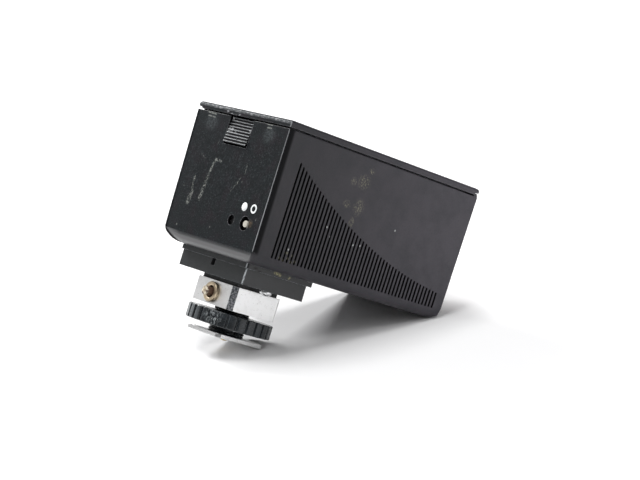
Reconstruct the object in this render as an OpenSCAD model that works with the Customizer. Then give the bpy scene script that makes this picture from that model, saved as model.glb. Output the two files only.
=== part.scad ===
// Hot-shoe infrared flash trigger: a moulded case on a camera-shoe foot.
// The origin is the centre of the shoe foot's bottom face. +Z points up to the lid,
// +Y points forward to the infrared window and +X is the right-hand side seen from behind.

/* [Case] */
// Width of the case at its top edge
case_w = 51.2; // [50:0.1:56]
// Length of the case at its top edge
case_len = 87.7; // [87:0.1:96]
// Height of the case with its lid
case_h = 47.7; // [47.5:0.1:52]
// Height of the case's underside above the shoe foot
case_z = 26.2; // [26:0.1:30]
// Distance of the rear face behind the foot's centre line
rear_reach = 19.55; // [19.4:0.05:20]
// Thickness of the case walls
wall = 2; // [1.8:0.1:2.2]
// Lean of the case walls from upright, in degrees
draft = 0.8; // [0:0.1:1]
// Radius of the long bottom edges of the case
bottom_side_r = 4.5; // [3.5:0.1:5]
// Radius of the bottom edge at the rear
bottom_end_r = 4; // [3.5:0.1:4.5]
// Radius of the bottom edge at the front
bottom_front_r = 2.5; // [2.3:0.1:3]

/* [Lid] */
// Thickness of the lid
lid_t = 2.35; // [2.2:0.05:2.6]
// Height of the seam between the case and its lid
seam = 0.5; // [0.4:0.05:0.6]
// Radius of the lid's top edges
lid_edge_r = 1; // [0.5:0.1:1.5]
// Width of the ribbed lid catch
catch_w = 12.5; // [11:0.1:13]
// Height of the ribbed lid catch
catch_h = 8.9; // [8.5:0.1:9]
// Number of grip ribs on the catch
catch_ribs = 9; // [7:1:10]

/* [Grip grooves] */
// Number of grooves in each side wall
groove_count = 47; // [20:1:47]
// Distance from groove to groove
groove_pitch = 1.6; // [1.5:0.05:1.6]
// Width of a groove
groove_w = 0.7; // [0.5:0.05:0.9]
// Depth of a groove
groove_depth = 0.55; // [0.3:0.05:0.8]

/* [Rear controls] */
// Sideways place of the power switch hole
switch_x = 16.8; // [16:0.1:17]
// Diameter of the power switch hole
switch_hole_d = 4.7; // [4.6:0.1:5]
// Travel of the power switch from off to on
switch_travel = 1.8; // [1.5:0.1:1.8]
// Sideways place of the test button
button_x = 9.5; // [9:0.1:10]
// Diameter of the test button's hole
button_hole_d = 3.4; // [3.2:0.1:3.6]

/* [Shoe foot] */
// Width of the shoe foot, across the camera
foot_w = 18.6; // [18.4:0.05:18.6]
// Length of the shoe foot
foot_len = 20; // [18:0.1:20.2]
// Thickness of the shoe foot
foot_t = 1.4; // [1.3:0.05:1.5]
// Diameter of the centre contact
contact_d = 3; // [2.4:0.1:3.2]
// Height that the centre contact stands out of the foot
contact_out = 0.9; // [0.8:0.05:1]
// Diameter of the threaded post
post_d = 12.2; // [11.8:0.1:12.6]
// Pitch of the post's thread
thread_pitch = 1; // [0.75:0.25:1]
// Diameter of the locking ring
ring_d = 29; // [26:0.5:30]
// Height of the locking ring
ring_h = 4.8; // [4.6:0.1:5]
// Number of finger teeth on the locking ring
ring_teeth = 27; // [20:1:32]

/* [Cells] */
// Diameter of one cell
cell_d = 14.2; // [13.9:0.1:14.2]
// Length of one cell without its button end
cell_len = 49.3; // [48:0.1:49.3]

/* [Hidden] */
$fn = 64;

// Colours
case_black = [0.20, 0.21, 0.22];
soft_black = [0.10, 0.10, 0.11];
bare_metal = [0.80, 0.81, 0.83];
steel = [0.62, 0.63, 0.65];
brass = [0.78, 0.62, 0.34];
board_green = [0.10, 0.32, 0.18];

// Small gap that keeps two solids apart, and the radial gap of a running fit
eps = 0.02;
run_gap = 0.05;
// Amount that a cutting shape passes its surface
cut = 1;

// Case heights and ends
case_top = case_z + case_h;
lid_low = case_top - lid_t;
tub_top = lid_low - seam;
floor_t = wall + 0.2;
floor_top = case_z + floor_t;
front_y = case_len - rear_reach;
mid_y = front_y - case_len / 2;
lean = tan(draft);

// Distance that a leaning wall has come in at height z
function drop(z) = (case_top - z) * lean;
// Outside of the side wall, rear wall and front wall at height z
function side_x(z) = case_w / 2 - drop(z);
function rear_y(z) = -rear_reach + drop(z);
function front_face_y(z) = front_y - drop(z);

// Lid hinge
hinge_pin_r = 0.45;
knuckle_r = 0.85;
hinge_relief_r = 1.3;
hinge_y = front_y - knuckle_r;
hinge_z = lid_low - seam / 2;
hinge_half = case_w / 2 - 3;
knuckle_end = case_w / 2 - 0.6;
lid_knuckle_in = 8;
lid_knuckle_out = 18;

// Upright rebate near each rear edge of the case
rebate_in = 0.2;
rebate_w = 2.1;
rebate_depth = 0.35;
rebate_low = case_z + 3.8;

// Rear-left pry notch under the lid
pry_w = 2;
pry_h = 0.5;

// Lid catch
catch_lean = 8.7;
catch_t = 1.4;
catch_low = tub_top - catch_h;
catch_mid_z = tub_top - catch_h / 2;
catch_gap = 0.25;
catch_drop = 0.55;
rib_h = 0.35;
catch_pivot_y = -rear_reach + 3.95;
catch_pivot_z = tub_top - 1.75;
catch_pin_r = 0.6;
catch_leg_w = 9;
catch_leg_t = 1;
barb_h = 1;
barb_low = catch_low - 2.75;
barb_reach = 1.2;
catch_spring_r = 1.5;
catch_spring_len = 3.3;
lug_t = 2;

// Infrared window and flash chamber
window_half_w = case_w / 2 - 4.2;
window_low = case_z + bottom_end_r + 0.3;
window_high = tub_top - 3;
window_rim = 2;
window_t = 1.8;
window_y = front_y - 2.55;
reflector_half_w = 19;
reflector_mid_z = 51.5;
reflector_half_h = 14;
reflector_depth = 12;
reflector_t = 0.6;
reflector_front = window_y - 0.3;
tube_r = 1.6;
tube_end = 0.5;
tube_cap_len = 2;
tube_y = reflector_front - reflector_depth + 4.2;

// Boards and what stands on them
board_t = 1.4;
board_z = floor_top + 2.6;
board_top = board_z + board_t;
board_half_w = 20;
board_rear = -8;
board_front = 48;
board_hole_x = 17;
board_hole_inset = 4;
board_boss_r = 2.5;
board_screw_r = 1.1;

// Battery tray
tray_t = 1.4;
tray_half_w = cell_d + 2 + eps;
tray_floor_z = board_top + 7;
tray_high = tray_floor_z + tray_t + 2 * cell_d + 1;
tray_rear = -8;
tray_front = 50;
tray_leg = 6;
tray_leg_in = 9;
cell_r = cell_d / 2;
cell_gap = 0.2;
cell_x = cell_r + cell_gap / 2;
cell_low_z = tray_floor_z + tray_t + cell_r + eps;
cell_high_z = cell_low_z + cell_d + cell_gap;
cell_plate_t = 0.4;
cell_button_r = 2.7;
cell_button_h = 1.2;
cell_front = tray_front - tray_t - cell_plate_t - cell_button_h - 2 * eps;
cell_rear = cell_front - cell_len;

// Rear controls
control_z = case_z + 11.8;
rear_board_y = -rear_reach + 6.55;
rear_board_t = 1.2;
rear_boss_z = control_z + 5.5;
rear_boss_x = [button_x - 4, switch_x + 3.7];
rear_boss_r = 2;
rear_screw_r = 0.8;
knob_r = 1.1;
knob_x = switch_x + switch_travel / 2;
slider_half_w = 2.2;
slider_half_h = 1.3;
slider_t = 1;
slider_y = rear_board_y - 2.6;
switch_half_w = 4.5;
switch_half_h = 2.3;
switch_front = slider_y - 0.8;
button_r = button_hole_d / 2 - 0.08;
button_travel = 0.5;
button_sunk = 1.1;
tact_h = 2;

// Mounting stack under the case
stack_wire_r = 3.2;
plate_half_w = 18.9;
plate_rear = -13.9;
plate_front = 14.3;
plate_t = 1.7;
plate_low = case_z - plate_t;
block_half_w = 18;
block_rear = -13.65;
block_front = 12.75;
block_h = 5.4;
block_low = plate_low - block_h;
insulator_t = 1.4;
insulator_half_w = 9.75;
insulator_half_len = 8.75;
insulator_low = block_low - insulator_t;
foot_block_low = 9.7;
foot_block_half_w = 11.2;
foot_block_half_len = 10.3;
foot_block_chamfer = 1.65;
block_screw_x = 14;
block_screw_r = 1.2;
block_screw_head_r = 2.15;
plate_screw_x = 15.5;
plate_screw_y = 10.5;
plate_screw_r = 0.95;
foot_screw_x = 7;
foot_screw_r = 1.45;
foot_screw_head_r = 2.6;
foot_screw_head_h = 1.7;
foot_screw_low = foot_block_low + 3;

// Shoe foot
post_r = post_d / 2;
post_bore_r = 3.2;
spigot_r = 4.2;
spigot_h = 2.2;
thread_depth = 0.3;
ring_low = 3.55;
ring_groove_w = 1;
ring_groove_depth = 0.7;
washer_t = 0.3;
washer_r = post_r + 1.2;
contact_r = contact_d / 2;
bush_r = 2.1;
bush_flange_r = 3;
bush_flange_t = 0.75;
contact_head_r = 2.3;
contact_head_t = 0.6;
contact_head_low = foot_t + bush_flange_t + 2 * eps;
contact_spring_r = 1.5;
contact_spring_low = contact_head_low + contact_head_t + eps;
contact_spring_high = 7.6;
cap_t = 0.7;

// Sync socket in the rear of the foot block
socket_z = 13.65;
socket_collar_r = 3.45;
socket_out = 1.2;
socket_body_r = 2.9;
socket_bore_r = 2;
socket_depth = 5.2;
socket_lead_r = 1.1;
socket_core_r = 1.5;
socket_core_out = 2.2;
socket_core_root = 2.4;
socket_pin_r = 0.5;
socket_tail = 0.6;
socket_rear = -foot_block_half_len;
core_rear = socket_rear - socket_out - socket_core_out;

// ---- Shared shapes ----

// A cylinder along X from x0 to x1
module rod_x(r, x0, x1, y, z) {
    translate([x0, y, z]) rotate([0, 90, 0]) cylinder(h = x1 - x0, r = r);
}

// A cylinder along Y from y0 to y1
module rod_y(r, x, y0, y1, z) {
    translate([x, y1, z]) rotate([90, 0, 0]) cylinder(h = y1 - y0, r = r);
}

// A cylinder along Z from z0 to z1
module rod_z(r, x, y, z0, z1) {
    translate([x, y, z0]) cylinder(h = z1 - z0, r = r);
}

// A block between two corners
module block(low, high) {
    translate(low) cube(high - low);
}

// A rectangle with round corners, centred
module round_rect(w, l, r) {
    square([w - 2 * r, l], center = true);
    square([w, l - 2 * r], center = true);
    for (sx = [-1, 1], sy = [-1, 1])
        translate([sx * (w / 2 - r), sy * (l / 2 - r)]) circle(r);
}

// A slab with round corners between x = -half_w and half_w
module round_slab(half_w, y0, y1, z0, z1, r) {
    translate([0, (y0 + y1) / 2, z0]) linear_extrude(z1 - z0) round_rect(2 * half_w, y1 - y0, r);
}

// Distance from the middle to the end of a rounded bottom corner of radius r
function flat_end(half, low, r) = half - drop(low) - r * (1 - sin(draft)) / cos(draft);

// Point where a rounded bottom corner of radius r meets its leaning side
function corner_side(x, low, r) = [x + r * cos(draft), low + r * (1 - sin(draft))];

// Upright section with leaning sides: half is the half width at the case top.
// r_minus and r_plus round the bottom corners, and r_high the top ones.
module leaning_section(half, low, high, r_minus, r_plus, r_high) {
    minus_x = flat_end(half, low, r_minus);
    plus_x = flat_end(half, low, r_plus);
    high_x = half - drop(high) - r_high * (1 + sin(draft)) / cos(draft);
    minus_side = corner_side(minus_x, low, r_minus);
    plus_side = corner_side(plus_x, low, r_plus);
    high_side = [high_x + r_high * cos(draft), high - r_high * (1 + sin(draft))];
    polygon([
        [-minus_x, low], [plus_x, low], plus_side, high_side, [high_x, high],
        [-high_x, high], [-high_side[0], high_side[1]], [-minus_side[0], minus_side[1]]
    ]);
    if (r_minus > 0) translate([-minus_x, low + r_minus]) circle(r_minus);
    if (r_plus > 0) translate([plus_x, low + r_plus]) circle(r_plus);
    for (s = [-1, 1]) if (r_high > 0) translate([s * high_x, high - r_high]) circle(r_high);
}

// Box with four leaning walls, inset from the case's outside by inset
module leaning_box(inset, low, high, r_side, r_rear, r_front, r_high) {
    reach = case_len + case_w;
    intersection() {
        translate([0, mid_y + reach / 2, 0]) rotate([90, 0, 0]) linear_extrude(reach)
            leaning_section(case_w / 2 - inset, low, high, r_side, r_side, r_high);
        translate([-reach / 2, mid_y, 0]) rotate([90, 0, 90]) linear_extrude(reach)
            leaning_section(case_len / 2 - inset, low, high, r_rear, r_front, r_high);
    }
}

// Corner points of one turn of a coil's wire, then of the next
coil_steps = 16;
wire_sides = 8;
function coil_point(r, wire, lift, i, j) =
    let (a = 360 * i / coil_steps, b = 360 * j / wire_sides, d = r + wire * cos(b))
    [d * cos(a), d * sin(a), lift * i + wire * sin(b)];

// Compression spring from z = 0 to height, wound at radius r from wire of radius wire
module coil(r, wire, turns, height) {
    n = coil_steps * turns;
    lift = (height - 2 * wire) / n;
    points = [for (i = [0:n], j = [0:wire_sides - 1]) coil_point(r, wire, lift, i, j)];
    sides = [
        for (i = [0:n - 1], j = [0:wire_sides - 1])
            let (k = (j + 1) % wire_sides, a = i * wire_sides, b = a + wire_sides)
            [a + j, a + k, b + k, b + j]
    ];
    first = [for (j = [wire_sides - 1:-1:0]) j];
    last = [for (j = [0:wire_sides - 1]) n * wire_sides + j];
    translate([0, 0, wire]) polyhedron(points, concat([first], sides, [last]));
}

// A screw pointing down: head above z, shank below it, straight slot in the head
module screw_down(x, y, z, head_r, head_h, shank_r, shank_len) {
    slot_w = head_r * 0.28;
    difference() {
        union() {
            rod_z(head_r, x, y, z, z + head_h);
            rod_z(shank_r, x, y, z - shank_len, z + eps);
        }
        translate([x - head_r - cut, y - slot_w / 2, z + head_h * 0.55])
            cube([2 * (head_r + cut), slot_w, head_h]);
    }
}

// ---- Case ----

// Top end of the groove at y: a curve that falls from the rear to the front
curve_end_y = 75.55;
curve_span = 86.3;
function groove_high(y) = case_z + 8.7 + 27.1 * pow((curve_end_y - y) / curve_span, 2);
groove_low = case_z + 3.7;
groove_start = mid_y - 34.975;

// One groove in the side wall on side s (-1 or 1)
module side_groove(s, y) {
    length = groove_high(y) - groove_low;
    translate([s * side_x(groove_low), y, groove_low])
        rotate([0, s * draft, 0])
            translate([-groove_depth, -groove_w / 2, 0])
                cube([2 * groove_depth, groove_w, length]);
}

// Shallow upright rebate in the side wall, just in front of the rear edge
module side_rebate(s) {
    translate([s * side_x(rebate_low), rear_y(rebate_low) + rebate_in, rebate_low])
        rotate([0, s * draft, 0])
            translate([-rebate_depth, 0, 0])
                cube([2 * rebate_depth, rebate_w, case_top - rebate_low]);
}

// Space that the hinge knuckles of one part need in the other: x0 to x1 on both sides
module hinge_relief(x0, x1) {
    rod_x(hinge_relief_r, x0, x1, hinge_y, hinge_z);
    rod_x(hinge_relief_r, -x1, -x0, hinge_y, hinge_z);
}

// Knuckles of the case: one in the middle and one near each corner
module case_knuckles(r) {
    rod_x(r, -lid_knuckle_in + 0.1, lid_knuckle_in - 0.1, hinge_y, hinge_z);
    rod_x(r, lid_knuckle_out + 0.1, knuckle_end, hinge_y, hinge_z);
    rod_x(r, -knuckle_end, -lid_knuckle_out - 0.1, hinge_y, hinge_z);
}

// Moulded tub with its bosses, knuckles and catch ledge
module case_tub() {
    color(case_black) difference() {
        union() {
            difference() {
                leaning_box(0, case_z, tub_top, bottom_side_r, bottom_end_r, bottom_front_r, 0);
                leaning_box(
                    wall, floor_top, case_top + cut,
                    bottom_side_r - wall, bottom_end_r - wall, bottom_front_r - wall, 0
                );
                hinge_relief(lid_knuckle_in - 0.1, lid_knuckle_out + 0.1);
            }
            case_knuckles(knuckle_r);
            board_bosses();
            rear_bosses();
            catch_ledge();
        }
        rod_x(hinge_pin_r + eps, -hinge_half - cut, hinge_half + cut, hinge_y, hinge_z);
        for (s = [-1, 1], i = [0:groove_count - 1])
            side_groove(s, groove_start + i * groove_pitch);
        for (s = [-1, 1])
            side_rebate(s);
        window_opening();
        catch_opening();
        rod_y(switch_hole_d / 2, switch_x, -rear_reach - cut, -rear_reach + wall + cut, control_z);
        rod_y(button_hole_d / 2, button_x, -rear_reach - cut, -rear_reach + wall + cut, control_z);
        rod_z(stack_wire_r, 0, 0, case_z - cut, floor_top + cut);
        for (s = [-1, 1])
            rod_z(block_screw_r + eps, s * block_screw_x, 0, case_z - cut, floor_top + cut);
        for (sx = [-1, 1], sy = [-1, 1])
            rod_z(plate_screw_r + eps, sx * plate_screw_x, sy * plate_screw_y, case_z - cut, floor_top + cut);
    }
}

// Floor bosses under the corners of the main board
module board_bosses() {
    for (s = [-1, 1], y = [board_rear + board_hole_inset, board_front - board_hole_inset])
        difference() {
            rod_z(board_boss_r, s * board_hole_x, y, case_z + cut, board_z - eps);
            rod_z(board_screw_r + eps, s * board_hole_x, y, floor_top, board_z + cut);
        }
}

// Bosses inside the rear wall for the rear board
module rear_bosses() {
    wall_y = rear_y(rear_boss_z);
    for (x = rear_boss_x)
        difference() {
            rod_y(rear_boss_r, x, wall_y + cut, rear_board_y - eps, rear_boss_z);
            rod_y(rear_screw_r + eps, x, wall_y + wall, rear_board_y + cut, rear_boss_z);
        }
}

// Ledge inside the rear wall that the catch's barb hooks under
module catch_ledge() {
    block(
        [-catch_leg_w / 2 - 0.5, rear_y(barb_low) + cut, barb_low + barb_h + 0.15],
        [catch_leg_w / 2 + 0.5, -rear_reach + 3.35, catch_low - catch_drop]
    );
}

// Notch in the rear wall behind the catch, open at the top
module catch_opening() {
    block(
        [-catch_w / 2 - catch_gap, -rear_reach - cut, catch_low - catch_drop],
        [catch_w / 2 + catch_gap, -rear_reach + wall + cut, case_top]
    );
}

// Stepped opening for the infrared window
module window_opening() {
    block([-window_half_w, window_y, window_low], [window_half_w, front_y + cut, window_high]);
    block(
        [-window_half_w + window_rim, front_y - 3 * wall, window_low + window_rim],
        [window_half_w - window_rim, front_y, window_high - window_rim]
    );
}

// Lid with its knuckles, locating ribs and the lugs that carry the catch
module top_lid() {
    color(case_black) difference() {
        union() {
            difference() {
                leaning_box(0, lid_low, case_top, 0, 0, 0, lid_edge_r);
                rod_x(hinge_relief_r, -lid_knuckle_in, lid_knuckle_in, hinge_y, hinge_z);
                hinge_relief(lid_knuckle_out, case_w);
                pry_notch();
            }
            rod_x(knuckle_r, lid_knuckle_in, lid_knuckle_out, hinge_y, hinge_z);
            rod_x(knuckle_r, -lid_knuckle_out, -lid_knuckle_in, hinge_y, hinge_z);
            lid_ribs();
            catch_lugs();
        }
        rod_x(hinge_pin_r + run_gap, -case_w, case_w, hinge_y, hinge_z);
        rod_x(catch_pin_r + eps, -case_w, case_w, catch_pivot_y, catch_pivot_z);
    }
}

// Shallow notch for a fingernail under the lid's rear-left corner
module pry_notch() {
    block(
        [-case_w / 2 - cut, -rear_reach - cut, lid_low - cut],
        [-case_w / 2 + pry_w, -rear_reach + pry_w, lid_low + pry_h]
    );
}

// Ribs under the lid that locate it inside the walls
module lid_ribs() {
    rib_t = 1.1;
    rib_low = tub_top - 1.5;
    rear_rib_in = 10;
    side_in = case_w / 2 - wall - 0.5;
    rear_in = -rear_reach + wall + 0.5;
    for (s = [-1, 1]) {
        block(
            [s > 0 ? side_in - rib_t : -side_in, rear_in, rib_low],
            [s > 0 ? side_in : -side_in + rib_t, front_y - 4.5, lid_low + cut]
        );
        block(
            [s > 0 ? rear_rib_in : -side_in, rear_in, rib_low],
            [s > 0 ? side_in : -rear_rib_in, rear_in + rib_t, lid_low + cut]
        );
    }
}

// Two lugs for the catch's pin and one tongue behind the catch's spring
module catch_lugs() {
    lug_in = catch_w / 2 + 0.35;
    lug_rear = catch_pivot_y - 1.5;
    for (s = [-1, 1])
        block(
            [s > 0 ? lug_in : -lug_in - lug_t, lug_rear, catch_pivot_z - 1.5],
            [s > 0 ? lug_in + lug_t : -lug_in, catch_pivot_y + 1.5, lid_low + cut]
        );
    tongue_y = catch_pivot_y + catch_leg_t / 2 + catch_spring_len + eps;
    block([-3, tongue_y, catch_mid_z - 4], [3, tongue_y + 1.3, lid_low + cut]);
}

// Wire pin of the lid hinge
module hinge_pin() {
    color(steel) rod_x(hinge_pin_r, -hinge_half, hinge_half, hinge_y, hinge_z);
}

// Ribbed thumb catch with its barbed leg
module lid_catch() {
    half = catch_w / 2;
    leg_y = catch_pivot_y - catch_leg_t / 2;
    leg_half = catch_leg_w / 2;
    color(case_black) difference() {
        union() {
            translate([0, rear_y(catch_mid_z), catch_mid_z]) rotate([-catch_lean, 0, 0]) {
                block([-half, rib_h, -catch_h / 2], [half, catch_t + rib_h, catch_h / 2]);
                rib_pitch = (catch_h - 0.6) / (catch_ribs - 1);
                for (i = [0:catch_ribs - 1])
                    translate([0, 0, -catch_h / 2 + 0.3 + i * rib_pitch]) catch_rib(half, rib_pitch);
            }
            block(
                [-half, rear_y(catch_pivot_z) + 1.6, catch_pivot_z - 1.2],
                [half, catch_pivot_y, catch_pivot_z + 1.2]
            );
            rod_x(1.2, -half, half, catch_pivot_y, catch_pivot_z);
            block([-leg_half, leg_y, barb_low], [leg_half, leg_y + catch_leg_t, catch_pivot_z]);
            block(
                [-leg_half, leg_y - barb_reach, barb_low],
                [leg_half, leg_y + catch_leg_t, barb_low + barb_h]
            );
        }
        rod_x(catch_pin_r + run_gap, -half - cut, half + cut, catch_pivot_y, catch_pivot_z);
    }
}

// One grip rib with a slanted face, standing towards -Y
module catch_rib(half, pitch) {
    translate([-half, 0, 0]) rotate([90, 0, 90]) linear_extrude(2 * half)
        polygon([[rib_h + 0.1, -pitch / 3], [0, -pitch / 6], [0, pitch / 6], [rib_h + 0.1, pitch / 3]]);
}

// Pin of the lid catch
module catch_pin() {
    color(steel) rod_x(catch_pin_r, -catch_w / 2 - lug_t, catch_w / 2 + lug_t, catch_pivot_y, catch_pivot_z);
}

// Spring that pushes the catch out
module catch_spring() {
    color(steel)
        translate([0, catch_pivot_y + catch_leg_t / 2 + catch_spring_len, catch_mid_z])
            rotate([90, 0, 0]) coil(catch_spring_r, 0.15, 4, catch_spring_len - eps);
}

// ---- Flash chamber ----

// Dark infrared filter in the front
module infrared_window() {
    side_gap = 0.1;
    color([0.22, 0.03, 0.04])
        block(
            [-window_half_w + side_gap, window_y + eps, window_low + side_gap],
            [window_half_w - side_gap, window_y + window_t, window_high - side_gap]
        );
}

// Half height of the reflector's mouth at depth y behind its front: a parabola
function bowl(y, grow) = grow + reflector_half_h * sqrt(1 - y / (reflector_depth + grow));

// Section of the bowl, grown by grow
module bowl_section(grow, length) {
    steps = 24;
    depth = [for (i = [0:steps]) length * sin(90 * i / steps)];
    polygon(concat(
        [for (d = depth) [-d, bowl(d, grow)]],
        [for (i = [steps:-1:0]) [-depth[i], -bowl(depth[i], grow)]]
    ));
}

// Trough reflector with two end plates
module reflector() {
    color([0.85, 0.86, 0.88]) translate([0, reflector_front, reflector_mid_z]) difference() {
        translate([-reflector_half_w, 0, 0]) rotate([90, 0, 90]) linear_extrude(2 * reflector_half_w)
            bowl_section(reflector_t, reflector_depth + reflector_t);
        translate([-reflector_half_w + reflector_t, 0, 0]) rotate([90, 0, 90])
            linear_extrude(2 * (reflector_half_w - reflector_t)) {
                bowl_section(0, reflector_depth);
                translate([-eps, -reflector_half_h]) square([cut, 2 * reflector_half_h]);
            }
        rod_x(tube_r + 0.25, -reflector_half_w - cut, reflector_half_w + cut, tube_y - reflector_front, 0);
    }
}

// Glass tube through the end plates
module flash_tube() {
    tube_half = reflector_half_w + tube_end;
    color([0.85, 0.92, 0.95, 0.5])
        rod_x(tube_r, -tube_half, tube_half, tube_y, reflector_mid_z);
}

// Metal end caps of the tube
module tube_caps() {
    cap_in = reflector_half_w + tube_end + eps;
    color(steel) {
        rod_x(tube_r, cap_in, cap_in + tube_cap_len, tube_y, reflector_mid_z);
        rod_x(tube_r, -cap_in - tube_cap_len, -cap_in, tube_y, reflector_mid_z);
    }
}

// ---- Boards and their parts ----

// Main circuit board over the floor
module main_board() {
    color(board_green) difference() {
        round_slab(board_half_w, board_rear, board_front, board_z, board_top, 1);
        for (s = [-1, 1], y = [board_rear + board_hole_inset, board_front - board_hole_inset])
            rod_z(board_screw_r + 0.1, s * board_hole_x, y, board_z - cut, board_top + cut);
    }
}

// Four screws of the main board
module board_screws() {
    head_r = 2;
    head_h = 1.2;
    shank_len = board_t + 2.4;
    color(steel)
        for (s = [-1, 1], y = [board_rear + board_hole_inset, board_front - board_hole_inset])
            screw_down(s * board_hole_x, y, board_top + eps, head_r, head_h, board_screw_r, shank_len);
}

// Storage capacitor lying across the case under the reflector
module main_capacitor() {
    can_r = 4.2;
    can_half = 15;
    color([0.14, 0.18, 0.30]) rod_x(can_r, -can_half, can_half, tube_y, floor_top + can_r + 0.2);
}

// Ferrite converter transformer
module converter_transformer() {
    x = -10;
    y = 12.5;
    half_w = 5;
    half_len = 4.5;
    flange_t = 1.5;
    high = board_top + 6.4;
    color([0.16, 0.15, 0.15]) {
        block([x - half_w, y - half_len, board_top + eps], [x + half_w, y + half_len, board_top + flange_t]);
        block([x - half_w, y - half_len, high - flange_t], [x + half_w, y + half_len, high]);
        rod_z(3.2, x, y, board_top + flange_t - cut / 2, high - flange_t + cut / 2);
    }
}

// Trigger coil
module trigger_coil() {
    color([0.55, 0.35, 0.12]) rod_y(2.6, 9, 26, 36, board_top + 2.7);
}

// Switching transistor with its cooling tab
module power_transistor() {
    color([0.12, 0.12, 0.13]) block([5, 10, board_top + eps], [12, 13, board_top + 5]);
    color(steel) block([5, 13, board_top + eps], [12, 13.8, board_top + 6]);
}

// Row of resistors on the board
module resistors() {
    color([0.76, 0.64, 0.45]) for (i = [0:4])
        rod_x(0.9, -13, -7, 24 + i * 3.2, board_top + 1 + eps);
}

// ---- Battery compartment ----

// Open tray for four cells in two layers, on four legs
module battery_tray() {
    color(soft_black) union() {
        difference() {
            block([-tray_half_w, tray_rear, tray_floor_z], [tray_half_w, tray_front, tray_high]);
            block(
                [-tray_half_w + tray_t, tray_rear + tray_t, tray_floor_z + tray_t],
                [tray_half_w - tray_t, tray_front - tray_t, tray_high + cut]
            );
        }
        for (s = [-1, 1], y = [tray_rear + tray_leg_in, tray_front - tray_leg_in - tray_leg])
            block(
                [s > 0 ? tray_half_w - tray_t : -tray_half_w, y, board_top + eps],
                [s > 0 ? tray_half_w : -tray_half_w + tray_t, y + tray_leg, tray_floor_z + tray_t]
            );
    }
}

// The four places of a cell
module at_cells() {
    for (s = [-1, 1], z = [cell_low_z, cell_high_z]) translate([s * cell_x, 0, z]) children();
}

// Four cells with their button ends
module cells() {
    color([0.30, 0.34, 0.40]) at_cells() {
        rod_y(cell_r, 0, cell_rear, cell_front, 0);
        rod_y(cell_button_r, 0, cell_front - eps, cell_front + cell_button_h, 0);
    }
}

// Contact springs at the rear of the tray
module cell_springs() {
    start = tray_rear + tray_t + eps;
    color(steel) at_cells()
        translate([0, cell_rear - eps, 0]) rotate([90, 0, 0]) coil(4, 0.3, 3, cell_rear - start - 2 * eps);
}

// Contact plates at the front of the tray
module cell_plates() {
    plate_half = 4.5;
    back = tray_front - tray_t - eps;
    color(steel) at_cells()
        block([-plate_half, back - cell_plate_t, -plate_half], [plate_half, back, plate_half]);
}

// ---- Rear controls ----

// Small upright board behind the rear wall
module rear_board() {
    color(board_green) difference() {
        block(
            [button_x - 6, rear_board_y, control_z - 6],
            [switch_x + 5.7, rear_board_y + rear_board_t, control_z + 8]
        );
        for (x = rear_boss_x)
            rod_y(rear_screw_r + 0.1, x, rear_board_y - cut, rear_board_y + rear_board_t + cut, rear_boss_z);
    }
}

// Two screws of the rear board
module rear_board_screws() {
    head_y = rear_board_y + rear_board_t + eps;
    head_r = 1.6;
    head_h = 1;
    shank_len = rear_board_t + 2.5;
    color(steel) for (x = rear_boss_x)
        translate([x, head_y, rear_boss_z]) rotate([-90, 0, 0])
            screw_down(0, 0, 0, head_r, head_h, rear_screw_r, shank_len);
}

// Body of the sliding power switch, hollow for its slider
module power_switch() {
    slot_in = switch_travel / 2 + slider_half_w + 0.1;
    slot_high = slider_half_h + 0.1;
    color(steel) difference() {
        block(
            [switch_x - switch_half_w, switch_front, control_z - switch_half_h],
            [switch_x + switch_half_w, rear_board_y - eps, control_z + switch_half_h]
        );
        block(
            [switch_x - slot_in, slider_y - 0.1, control_z - slot_high],
            [switch_x + slot_in, slider_y + slider_t + 0.1, control_z + slot_high]
        );
        block(
            [switch_x - switch_travel / 2 - knob_r - 0.1, switch_front - cut, control_z - slot_high],
            [switch_x + switch_travel / 2 + knob_r + 0.1, slider_y, control_z + slot_high]
        );
    }
}

// Round knob of the power switch with its slider, in the off place
module switch_knob() {
    color([0.72, 0.71, 0.68]) {
        rod_y(knob_r - eps, knob_x, rear_y(control_z) - 0.3, slider_y + slider_t / 2, control_z);
        block(
            [knob_x - slider_half_w, slider_y, control_z - slider_half_h],
            [knob_x + slider_half_w, slider_y + slider_t, control_z + slider_half_h]
        );
    }
}

// Tact switch behind the test button
module test_switch() {
    tact_half = 2.5;
    body_t = tact_h - 0.3;
    color(soft_black) {
        block(
            [button_x - tact_half, rear_board_y - body_t, control_z - tact_half],
            [button_x + tact_half, rear_board_y - eps, control_z + tact_half]
        );
        rod_y(1, button_x, rear_board_y - tact_h, rear_board_y - body_t + eps, control_z);
    }
}

// Recessed test button with its inner flange
module test_button() {
    flange_r = button_r + 0.6;
    flange_y = rear_y(control_z - flange_r) + wall + run_gap;
    color(soft_black) {
        rod_y(button_r, button_x, rear_y(control_z) + button_sunk, flange_y + eps, control_z);
        rod_y(flange_r, button_x, flange_y, flange_y + 0.6, control_z);
        rod_y(0.9, button_x, flange_y, rear_board_y - tact_h - button_travel - eps, control_z);
    }
}

// ---- Mounting stack ----

// Upper plate against the case's underside
module mount_plate() {
    color(soft_black) difference() {
        round_slab(plate_half_w, plate_rear, plate_front, plate_low, case_z - eps, 0.6);
        rod_z(stack_wire_r, 0, 0, plate_low - cut, case_z + cut);
        for (s = [-1, 1])
            rod_z(block_screw_r + eps, s * block_screw_x, 0, plate_low - cut, case_z + cut);
        for (sx = [-1, 1], sy = [-1, 1])
            rod_z(plate_screw_r + eps, sx * plate_screw_x, sy * plate_screw_y, plate_low - cut, case_z + cut);
    }
}

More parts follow.
